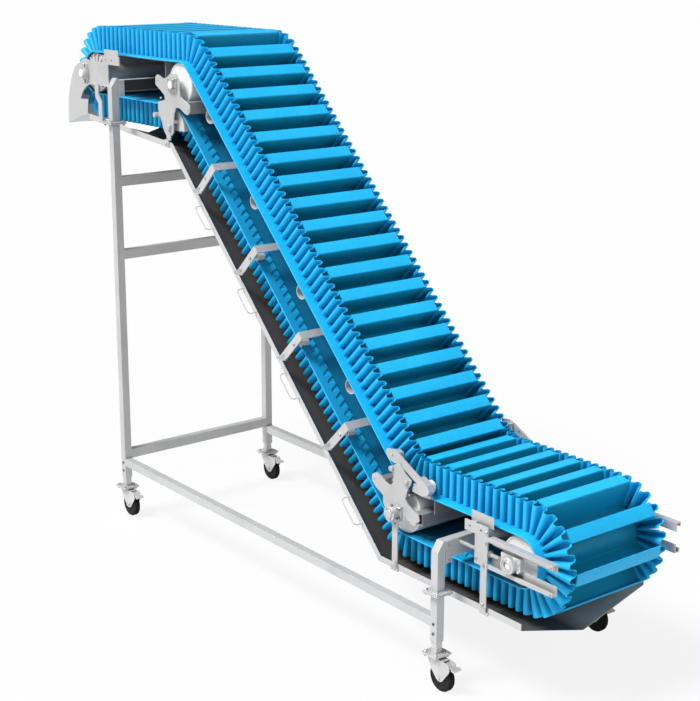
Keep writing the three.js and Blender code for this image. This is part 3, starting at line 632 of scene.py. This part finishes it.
def on_belt(distance, y, height):
    """Row-frame points at path lengths, across, and at heights above the belt's back."""
    points, _, normals, _ = follow(distance)
    y, height = (np.broadcast_to(value, len(points)) for value in (y, height))
    xz = points + (height - NEUTRAL)[:, None] * normals
    columns = [(xz[:, 0] - ROW_X) / 1000, y / 1000, (xz[:, 1] + FLOOR_DEPTH) / 1000]
    return np.stack(columns, 1)


CLEATS = round(LOOP / 161)
PITCH = LOOP / CLEATS
PLEAT = PITCH / 3
FIRST_CLEAT = 54.1  # path length
belt = MeshBuilder()

# carcass: a closed ring whose back has a recessed middle panel with a scalloped border
steps = CLEATS * 3 * 12
path = FIRST_CLEAT + np.arange(steps) * (LOOP / steps)
wave = np.cos(2 * np.pi * (path - FIRST_CLEAT) / PLEAT)
tooth = np.clip(0.5 + 0.5 * wave, 0, 1) ** 1.9  # 1 at the inner folds of the walls
border = 350 - 54 * tooth
lean = 14 * tooth**1.2  # the teeth curl over in the direction of travel
from_cleat = np.abs(np.mod(path - FIRST_CLEAT + PITCH / 2, PITCH) - PITCH / 2)
panel = np.where(from_cleat < LOOP / steps * 0.6, 14.2, 13.4)  # a shallow line at each cleat
SECTION = [  # y, height, shift along the path; carrying face first, then the back
    (-398.8, 8, 0), (-296, 8, 0), (-293, panel + 5, 0), (0, panel + 5, 0),
    (293, panel + 5, 0), (296, 8, 0), (398.8, 8, 0),
    (400, 6.8, 0), (400, 1.2, 0), (398.8, 0, 0),
    (border + 1.2, 0, lean), (border, 1.0, lean), (border - 1.5, panel, lean),
    (0, panel, 0),
    (-border + 1.5, panel, lean), (-border, 1.0, lean), (-border - 1.2, 0, lean),
    (-398.8, 0, 0), (-400, 1.2, 0), (-400, 6.8, 0),
]
ring = np.stack([on_belt(path + shift, y, height) for y, height, shift in SECTION], 1)
columns = len(SECTION)
carcass_faces = []
for i in range(steps):
    low, high = i * columns, (i + 1) % steps * columns
    for k in range(columns):
        j = (k + 1) % columns
        carcass_faces.append((low + k, high + k, high + j, low + j))
belt.add(ring.reshape(-1, 3).tolist(), carcass_faces)

# corrugated side walls: one folded strip per pleat, meeting its neighbours in the inner folds
FOLD = 17  # points along one fold
WALL_LEVELS = [  # height, half thickness
    (6.5, 2.9), (40, 2.5), (80, 2.4), (120, 2.3), (150, 2.3), (163, 2.2), (167.2, 1.2),
]
swing = np.linspace(-np.pi, np.pi, FOLD)
swing_cos = np.cos(swing)
fold_y = 325.2 + 22.6 * np.sign(swing_cos) * np.abs(swing_cos) ** 0.62
fold_s = PLEAT * (swing / (2 * np.pi) + 0.040 * np.sin(2 * swing))
slope_y, slope_s = np.gradient(fold_y), np.gradient(fold_s)
slope = np.hypot(slope_y, slope_s)
normal_y, normal_s = slope_s / slope, -slope_y / slope  # away from the centre on the crest
wall_s, wall_y, wall_h, wall_faces = [], [], [], []
for pleat in range(CLEATS * 3):
    middle = FIRST_CLEAT + (pleat + 0.5) * PLEAT
    curve = mean_curvature(middle, PLEAT)
    for side in SIDES:
        base = len(wall_s)
        for height, thick in WALL_LEVELS:
            spread = (1 + max(curve, 0) * (height - NEUTRAL)) ** 0.3
            for face in (1, -1):
                wall_s += list(middle + (fold_s + face * normal_s * thick) / spread)
                wall_y += list(side * (fold_y + face * normal_y * thick))
                wall_h += [height] * FOLD
        level = 2 * FOLD
        for step in range(len(WALL_LEVELS) - 1):
            low = base + step * level
            high = low + level
            for i in range(FOLD - 1):
                wall_faces.append((low + i, low + i + 1, high + i + 1, high + i))
                a, b = low + FOLD + i, high + FOLD + i
                wall_faces.append((a + 1, a, b, b + 1))
            wall_faces.append((low + FOLD - 1, low + level - 1, high + level - 1, high + FOLD - 1))
            wall_faces.append((low + FOLD, low, high, high + FOLD))
        top = base + (len(WALL_LEVELS) - 1) * level
        for i in range(FOLD - 1):
            a, b = base + i, top + i
            wall_faces.append((a + 1, a, a + FOLD, a + FOLD + 1))
            wall_faces.append((b, b + 1, b + FOLD + 1, b + FOLD))
wall_points = on_belt(np.array(wall_s), np.array(wall_y), np.array(wall_h))
belt.add(wall_points.tolist(), wall_faces)

# cleats: a web with a broad lip that leans in the direction of travel
for cleat in range(CLEATS):
    middle = FIRST_CLEAT + cleat * PITCH
    (centre,), (tangent,), (normal,), _ = follow([middle])
    # the lip is shortened where the belt bends the cleat tips together
    closing = min(mean_curvature(middle, PITCH), 0)
    lip = min(72.0, PITCH * (1 + closing * 86) - 9) - 4
    profile = [  # along the path, height
        (9, 16.4), (6, 19), (4.6, 24), (4, 40), (4, 158), (3.6, 165), (1.5, WALL_HEIGHT),
        (-lip + 3, WALL_HEIGHT), (-lip + 0.6, 167), (-lip, 165), (-lip + 0.5, 162.4),
        (-lip + 3, 161), (-16, 158), (-7, 154), (-4, 146), (-4, 40), (-4.6, 24), (-6, 19),
        (-9, 16.4),
    ]
    outline = [centre + u * tangent + (h - NEUTRAL) * normal for u, h in profile]
    belt.extrude(*([point(x, y, z) for x, z in outline] for y in (-299.5, 299.5)))

belt_obj = belt.build("belt_with_walls_and_cleats", "belt", None, "belt_rubber", 38)
# the back, rim and web slots hold darker copies of the belt rubber: painted shade
for look in ("back", "rim", "web"):
    belt_obj.data.materials.append(finish[look].owner)
BACK_SLOT, RIM_SLOT, WEB_SLOT = 1, 2, 3
CARCASS_SLOTS = {  # face number round the section: material slot
    2: WEB_SLOT, 3: WEB_SLOT, 9: RIM_SLOT, 10: RIM_SLOT, 11: BACK_SLOT, 12: BACK_SLOT,
    13: BACK_SLOT, 14: BACK_SLOT, 15: RIM_SLOT, 16: RIM_SLOT,
}
polygons = belt_obj.data.polygons
for i in range(steps):
    for k, slot in CARCASS_SLOTS.items():
        polygons[i * columns + k].material_index = slot
# the cleat's foot, its back web and the underside of its lip take the darker web material, painted
# shade
for cleat in range(CLEATS):
    # the two end faces come before the faces round the profile
    first = len(carcass_faces) + len(wall_faces) + cleat * (len(profile) + 2) + 2
    for i in (0, 1, 2, 3, 12, 13, 14, 15, 16, 17, 18):
        polygons[first + i].material_index = WEB_SLOT
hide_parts("conveyor_belt")
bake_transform(belt_obj)

# ------------------------------------------------------------------ drum bearings
FLANGE_BOLTS = [(33 * i, 30 * k) for i, k in CORNERS]
BEARINGS = [  # centre, bolt face y, ring y, bolt size, bolt offsets in x and z
    (HEAD, 474, 487, 10, [(0, 55), (0, -55)]),
    (BEND, 446, 458, 8, FLANGE_BOLTS),
    (RETURN, 446, 458, 8, FLANGE_BOLTS),
]
RING = [(25.6, 0), (30, 0), (31, 1.2), (31, 4), (29, 5), (25.6, 5), (25.6, 0)]
BARREL = [
    (0, 0), (33, 0), (33, 20), (41, 21.5), (42, 23), (42, 31), (40.5, 32.5), (27, 32.5),
    (26, 31), (26, 35), (23, 38), (8, 39.5), (0, 39.5),
]
bolts, caps = MeshBuilder(), MeshBuilder()
for side in SIDES:
    out = outward(side)
    for (x, z), bolt_y, ring_y, size, offsets in BEARINGS:
        for dx, dz in offsets:
            turn = 0.3 + dx * 0.2 + dz * 0.5
            bolts.nut(point(x + dx, side * bolt_y, z + dz), out, size, turn, stud=5)
        caps.lathe(point(x, side * ring_y, z), out, RING, 36)
        tilt = Vector((0.4, side * 0.5, 1))
        caps.hexagon(point(x + 20, side * (ring_y - 8), z + 27), tilt, 4.5, 9, 0.2)
    # the return drum's unit stands further out: a barrel with a bolted ring and a cap
    x, z = RETURN
    caps.lathe(point(x, side * 463, z), out, BARREL, 40)
    for k in range(4):
        angle = math.pi * (k / 2 + 0.18)
        dx, dz = 33.5 * math.cos(angle), 33.5 * math.sin(angle)
        bolts.hexagon(point(x + dx, side * 495.3, z + dz), out, 6.2, 5, angle)
bolts.build("bearing_bolts", "bolt", "frame", "zinc_steel", 35)
caps.build("bearing_rings_and_caps", "plate", "frame", "plate_steel")

# ------------------------------------------------------------------ drum ends
DISC_RIM = [
    (119, 0), (125.5, 0), (125.5, 2.4), (124, 3.2), (120.5, 3.2), (119, 2.0), (119, 0),
]
DRUMS = [  # name, body, centre, shaft hole radius, ribs
    ("head", "head_roller", HEAD, 24.3, 14),
    ("upper_bend", "bend_roller", BEND, 24.3, 0),
    ("lower_return", "return_roller", RETURN, 24.3, 0),
    ("tail", "tail_roller", TAIL, 22.3, 0),
]
for name, body, (x, z), hole, ribs in DRUMS:
    drum = MeshBuilder()
    hub = [(hole, 0), (40, 0), (40, 1.2), (36, 9), (34, 11), (hole, 11), (hole, 0)]
    for side in SIDES:
        out = outward(side)
        drum.lathe(point(x, side * 379.6, z), out, hub, 40)
        drum.lathe(point(x, side * 379.8, z), out, DISC_RIM, 64)
        for k in range(ribs):
            rib_frame = spoke_frame(point(x, 0, z), 2 * math.pi * k / ribs)
            drum.box((38, 121), (side * 379.8, side * 390), (-3, 3), 0.8, rib_frame)
    drum.build("drum_end_" + name, "white", body, "white_roller")

# ------------------------------------------------------------------ take-up
INSERT = [
    (23.8, 0), (43, 0), (45, 1.5), (45, 5), (40, 9), (33, 9), (32, 5), (23.8, 5), (23.8, 0),
]
COLLAR = [(22.4, 0), (29, 0), (29, 9), (27.5, 11), (22.4, 11), (22.4, 0)]
THREAD = [(9.6, 0), (10.7, 1.0), (10.7, 1.3), (9.6, 2.3), (9.6, 0)]
ROD_WASHER = [(11.4, 0), (19, 0), (19, 1.6), (11.4, 1.6), (11.4, 0)]
ROD_NUT = [(11.4, 0), (16.5, 0), (17, 1), (17, 10), (16, 11), (11.4, 11), (11.4, 0)]
ROD_Y = 446
PLATE_BOLTS = [  # x, z, size
    (3352, 560, 8), (3352, 500, 8), (3284, 400, 8), (3800, 525, 6), (3800, 383, 6),
]
x, z = TAIL
bearing, rod, plate_bolts = MeshBuilder(), MeshBuilder(), MeshBuilder()
for side in SIDES:
    out = outward(side)
    bearing.lathe(point(x, side * 476.6, z), out, INSERT, 40)
    bearing.lathe(point(x, side * 474.5, z), out, COLLAR, 32)
    for i, k in CORNERS:
        bearing.bolt(point(x + i * 54, side * 456, z + k * 23), out, 8, i + k * 0.4)
    tilt = Vector((-0.3, side * 0.4, 1))
    bearing.hexagon(point(x - 30, side * 468, z + 34), tilt, 4.2, 10, 0.1)

    rod.hexagon(point(3437.5, side * ROD_Y, z), ALONG, 17, 14, 0.25)
    for k in range(92):
        rod.lathe(point(3124 + k * 3.4, side * ROD_Y, z), ALONG, THREAD, 14)

    plate_bolts.lathe(point(3362.2, side * ROD_Y, z), ALONG, ROD_WASHER, 24)
    plate_bolts.lathe(point(3363.8, side * ROD_Y, z), ALONG, ROD_NUT, 6, 0.3)
    for bolt_x, bolt_z, size in PLATE_BOLTS:
        turn = bolt_x * 0.1 + bolt_z
        plate_bolts.bolt(point(bolt_x, side * 463, bolt_z), out, size, turn)
    for bolt_z, turn in ((382, 0.5), (172, 0.8)):
        plate_bolts.bolt(point(3343, side * 469, bolt_z), out, 9, turn)
bearing.build("take_up_bearing", "zinc", "take_up", "zinc_steel")
rod.build("take_up_rod_thread_and_nuts", "bolt", "take_up", "zinc_steel")
plate_bolts.build("infeed_plate_fasteners", "bolt", "frame", "zinc_steel")

# ------------------------------------------------------------------ bend plates and pan clamps
BOSSES = [  # x, z, y, radius
    (2588, 675, 448, 14), (2709, 631, 448, 14), (437.6, 2282.3, 450, 17), (289, 2341, 456, 14),
]
BOLT_GROUPS = [  # y, size, turn per mm of x, places in x and z
    (429, 8, 1, [(2578, 750), (2850, 642)]),
    (436, 7, 1, [(2440, 580), (2700, 430), (2790, 430)]),
    (436, 7, 0.3, [(318, 2556), (650, 2404), (346, 2450)]),
]
FLAT_BAR_BOLTS = [(2642, 148, 9, 148), (2642, 380, 9, 380), (427, 2180, 8, 0.4)]  # x, z, size, turn
fasteners = MeshBuilder()
for side in SIDES:
    out = outward(side)
    for x, z, y, radius in BOSSES:
        dimple = radius * 0.45
        profile = [(0, 0), (radius, 0), (radius, 1.5), (radius - 2.5, 3.6), (dimple, 4.6),
                   (dimple, 3.2), (0, 3.0)]
        fasteners.lathe(point(x, side * (y - 0.3), z), out, profile, 28)
    for y, size, turn, places in BOLT_GROUPS:
        for x, z in places:
            fasteners.bolt(point(x, side * y, z), out, size, x * turn)
    for x, z, size, turn in FLAT_BAR_BOLTS:
        fasteners.bolt(point(x, side * 458, z), out, size, turn)
fasteners.build("bend_plate_fasteners", "plate", "frame", "plate_steel")

# clamps where the flat bars meet the pan flanges: a foot and an upright tongue
clamps = MeshBuilder()
for side in SIDES:
    for x in (2612, 3314):
        clamps.box((x, x + 60), (side * 451, side * 461), (113, 128), 1.2)
        clamps.box((x + 14, x + 46), (side * 458.5, side * 463), (121, 174), 1.2)
clamps.build("pan_clamps", "plate", "frame", "plate_steel")

# ------------------------------------------------------------------ hanger straps
STRAP_SUM = 3041  # x + z at every strap's origin
DOWN_SLOPE, OFF_SLOPE = Vector((1, 0, -1)).normalized(), Vector((1, 0, 1)).normalized()
TONGUE = [(-22, -1.5), (22, -1.5), (14, 22), (0, 42), (-9, 42), (-18, 20)]  # down slope, outward


def strap_point(strap, u, v, side):
    """u runs down the slope and v square off it."""
    x = 932 + 425 * strap
    return point(x + (u + v) / ROOT2, side * 457, STRAP_SUM - x + (-u + v) / ROOT2)


strap_bolts, feet = MeshBuilder(), MeshBuilder()
for strap in range(4):
    u, v, size = (24, -85, 10) if strap else (12, -118, 8)
    for side in SIDES:
        out = outward(side)
        strap_bolts.bolt(strap_point(strap, u, v, side), out, size, strap)
        strap_bolts.bolt(strap_point(strap, 16, -212, side), out, 10, strap + 0.4)
        # small angle with a pointed tongue that clips over the pan's flange
        foot_frame = local_frame(strap_point(strap, 20, -216, side), DOWN_SLOPE, OFF_SLOPE)
        feet.box((-20, 22), (0, side * 3.5), (-14, 15), 0.8, foot_frame)
        feet.extrude(*(
            [foot_frame @ Vector((a, side * b, height)) for a, b in TONGUE]
            for height in (-14.2, -17.4)
        ))
strap_bolts.build("strap_bolts", "bolt", "frame", "zinc_steel")
feet.build("strap_feet", "strap", "frame", "strap_steel")

# ------------------------------------------------------------------ legs
LEGS = [(LEG_X[0], 2275, (2450, 2522)), (LEG_X[1], 192, (361, 444))]  # x, flange z, channel bolts z
BEAD_HALF = 26.2  # half width of the bead round a post
BEAD_STEPS = 22  # per side of the post
leg_bolts, post_beads, set_screws = MeshBuilder(), MeshBuilder(), MeshBuilder()
for (x, flange_z, channel_bolts), side in product(LEGS, SIDES):
    y = side * LEG_Y
    for i, j in CORNERS:
        bolt_x, bolt_y = x + i * 42, y + j * 42
        leg_bolts.bolt(point(bolt_x, bolt_y, flange_z + 8), UP, 9, i + j * 0.3)
        leg_bolts.nut(point(bolt_x, bolt_y, flange_z - 8.2), -UP, 9, 0.2, stud=4)
    for z in (18, -36):
        screw_at = point(x, side * (LEG_Y + 25), z)
        set_screws.bolt(screw_at, outward(side), 9, z, washer=False)
    for z in channel_bolts:
        leg_bolts.bolt(point(x + 30, side * 530, z), ALONG, 8, z)
    # weld bead round the post above and below its flange
    for z in (flange_z + 8.0 + 1.2, flange_z - 8.2 - 1.2):
        bead = []
        for edge, t in product(range(4), range(BEAD_STEPS)):
            f = -1 + 2 * t / BEAD_STEPS
            dx, dy = ((f, -1), (1, f), (-f, 1), (-1, -f))[edge]
            ripple = 0.35 * math.sin(t * 2.9)
            bead.append(point(x + dx * BEAD_HALF, y + dy * BEAD_HALF, z + ripple))
        post_beads.sweep(bead + bead[:1], 2.4)
set_screws.build("leg_set_screws", "dark", "frame", "zinc_steel")
leg_bolts.build("leg_fasteners", "bolt", "frame", "zinc_steel")
post_beads.build("leg_weld_beads", "stand", "frame", "stand_steel", 60)

# weld beads where the ties and rails meet the legs
TIE_HEIGHT = 62
tie_beads = MeshBuilder()
for side in SIDES:
    y = side * (LEG_Y - 26)
    for tie_z in (47, 1398, 1871):
        for x in (-24.6, 24.6):
            tie_beads.sweep([
                point(x + 0.4 * math.sin(t * 2.3), y, tie_z + TIE_HEIGHT * t / 16)
                for t in range(17)
            ], 2.2)
        top = tie_z + TIE_HEIGHT
        tie_beads.sweep([
            point(-24 + 48 * t / 12, y, top + 0.4 * math.sin(t * 2.6)) for t in range(13)
        ], 2.2)
    for y in (LEG_Y - 24.4, LEG_Y + 24.4):
        for x in (LEG_X[1] - 24.6, 26.0):
            tie_beads.sweep([point(x, side * y, 1 + 48 * t / 12) for t in range(13)], 2.0)
tie_beads.build("tie_weld_beads", "stand", "frame", "stand_steel", 60)

# ------------------------------------------------------------------ casters
RACE = [(22.6, 0), (41.5, 0), (43, 1.6), (43, 5), (40.5, 7.4), (22.6, 7.4), (22.6, 0)]
WHEEL_FACE = [
    (27, 2.2), (31, 3.4), (57, 0.7), (62, 0.6), (64, 3.2), (64.5, 5.2), (61, 5.2),
    (58.5, 2.4), (33, 5.6), (27, 5.6), (27, 2.2),
]
AXLE_X, AXLE_Z = 50, -262  # x from the leg


def caster(x, y, name):
    foot = MeshBuilder()
    for i, j in CORNERS:
        foot.bolt(point(x + i * 40, y + j * 40, -144), UP, 9, i * 0.5 + j)
        foot.nut(point(x + i * 40, y + j * 40, -158), -UP, 9, 0.4, stud=2)
    foot.build("foot_bolts_" + name, "bolt", "foot_" + name, "zinc_steel")

    swivel = MeshBuilder()
    swivel.lathe(point(x, y, -171), UP, RACE, 40)
    for side in SIDES:
        out = outward(side)
        swivel.hexagon(point(x + AXLE_X, y + side * 29.8, AXLE_Z), out, 10, 7, 0.6)
        swivel.cylinder(point(x + 84, y + side * 25.2, -176), out, 7, 2.2, 20, 0.5)
    swivel.build("caster_race_" + name, "zinc", "swivel_" + name, "zinc_steel")

    wheel = MeshBuilder()
    for side in SIDES:
        centre = point(x + AXLE_X, y + side * 11.0, AXLE_Z)
        wheel.lathe(centre, outward(side), WHEEL_FACE, 48)
        for k in range(6):
            matrix = spoke_frame(centre, 2 * math.pi * k / 6 + 0.2)
            wheel.box((30, 60), (side * 1.5, side * 7.2), (-5, 5), 1.2, matrix)
    wheel.build("wheel_spokes_" + name, "hub", "wheel_" + name, "tyre_black")

    pedal = MeshBuilder()
    for k in range(5):
        start = point(x + 147 + k * 3.4, y - 26, -183.6 - k * 1.35)
        pedal.cylinder(start, outward(1), 1.1, 52, 8, 0.2)
    pedal.build("pedal_grips_" + name, "zinc", "brake_" + name, "zinc_steel", 40)


for x, end in zip(LEG_X, ("head_", "infeed_")):
    for side, word in SIDES.items():
        caster(x, side * LEG_Y, end + word)

# ------------------------------------------------------------------ foot of the incline
# quarter-round shoe on the inner side of the bend plate, under the hold-down bar
SHOE = [  # x, z
    (2745, 632), (2733, 584), (2770, 580), (2820, 577), (2878, 581), (2884, 590),
    (2862, 606), (2806, 634), (2796, 640),
]
shoe = MeshBuilder()
for side in SIDES:
    ends = sorted((side * 401.5, side * 419.5))
    shoe.extrude(*([point(x, y, z) for x, z in SHOE] for y in ends))
shoe.build("quarter_shoe", "plate", "frame", "plate_steel", 40, bevel=1.2)

# curved slide sheet under the belt, with clips along both edges
SHEET_STEPS = 20


def sheet_point(gap, step):
    """x and z at a gap outside the belt's carrying bend."""
    angle = math.radians(226 + (272 - 226) * step / SHEET_STEPS)
    radius = HOLD_RADIUS + gap
    return (HOLD_CENTRE[0] + radius * math.cos(angle), HOLD_CENTRE[1] + radius * math.sin(angle))


outline = [sheet_point(3.0, i) for i in range(SHEET_STEPS + 1)]
outline += [sheet_point(7.0, i) for i in range(SHEET_STEPS, -1, -1)]
count = len(outline)
near_cap = [(i, i + 1, count - 2 - i, count - 1 - i) for i in range(SHEET_STEPS)]
far_cap = [tuple(count + i for i in reversed(quad)) for quad in near_cap]
sheet = MeshBuilder()
sheet.extrude(*([point(x, y, z) for x, z in outline] for y in (-384, 384)), near_cap + far_cap)
for side in SIDES:
    for step in (5, 15):
        x, z = sheet_point(22, step)
        sheet.box((x - 14, x + 14), (side * 372, side * 427), (z - 5, z + 9), 1.2)
sheet.build("curved_slide_sheet", "grey", "frame", "frame_grey")

# ------------------------------------------------------------------ floor and world
WHITE = grey(1)
bpy.ops.mesh.primitive_plane_add(size=600, location=(0, 0, 0))
floor = bpy.context.object
floor.name = "floor"
graph = Graph(bpy.data.materials.new("floor_pale"))
matt = graph.node("BsdfPrincipled", {
    "Base Color": grey(0.72), "Roughness": 1.0, "Specular IOR Level": 0.0,
})
camera_ray = graph.node("LightPath").outputs["Is Camera Ray"]
glow = graph.node("Emission", {"Color": WHITE, "Strength": 1.0})
glow_share = graph.math("MULTIPLY", camera_ray, 0.86)  # the floor glows to the camera only
blend = graph.node("MixShader", {0: glow_share, 1: matt.outputs[0], 2: glow.outputs[0]})
graph.feed(graph.output.inputs[0], blend.outputs[0])
floor.data.materials.append(graph.owner)
floor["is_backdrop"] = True

graph = Graph(bpy.data.worlds.new("studio"), "OutputWorld")
bpy.context.scene.world = graph.owner
camera_ray = graph.node("LightPath").outputs["Is Camera Ray"]
light = graph.node("Background", {"Color": WHITE, "Strength": 0.25})
backdrop = graph.node("Background", {"Color": WHITE, "Strength": 1.0})
blend = graph.node("MixShader", {0: camera_ray, 1: light.outputs[0], 2: backdrop.outputs[0]})
graph.feed(graph.output.inputs[0], blend.outputs[0])


# ------------------------------------------------------------------ lights and camera
def sun(name, source, strength, angle):
    data = bpy.data.lights.new(name, "SUN")
    data.energy = strength
    data.angle = math.radians(angle)
    obj = bpy.data.objects.new(name, data)
    bpy.context.scene.collection.objects.link(obj)
    obj.location = source
    obj.rotation_mode = "QUATERNION"
    obj.rotation_quaternion = (-Vector(source)).to_track_quat("-Z", "Y")
    obj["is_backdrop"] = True


sun("key", source=(-0.25, -1.0, 1.55), strength=3.75, angle=20)
sun("fill", source=(1.0, -0.35, 0.6), strength=0.42, angle=40)

YAW, PITCH_DOWN, ROLL = 0.9062432850260793, 0.26456781274119273, 0.0020123226269235964
CAMERA_AT = point(8492.309660, -5396.873721, 3436.153967)
level = math.cos(PITCH_DOWN)
back = Vector((math.sin(YAW) * level, -math.cos(YAW) * level, math.sin(PITCH_DOWN)))
right = Vector((math.cos(YAW), math.sin(YAW), 0))
above = right.cross(-back)
rolled_right = right * math.cos(ROLL) + above * math.sin(ROLL)
rolled_up = -right * math.sin(ROLL) + above * math.cos(ROLL)
camera_data = bpy.data.cameras.new("camera")
camera = bpy.data.objects.new("camera", camera_data)
bpy.context.scene.collection.objects.link(camera)
camera_data.sensor_fit = "HORIZONTAL"
camera_data.sensor_width = 36
camera_data.lens = 78.7215754
camera_data.shift_x = 0.0102414286
camera_data.shift_y = -0.00589285714
camera_data.clip_start = 0.1
camera_data.clip_end = 200
axes = Matrix((rolled_right, rolled_up, back)).transposed().to_4x4()
camera.matrix_world = Matrix.Translation(CAMERA_AT) @ axes
scene = bpy.context.scene
scene.camera = camera
scene.view_settings.view_transform = "Standard"
scene.view_settings.look = "None"

low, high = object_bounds()
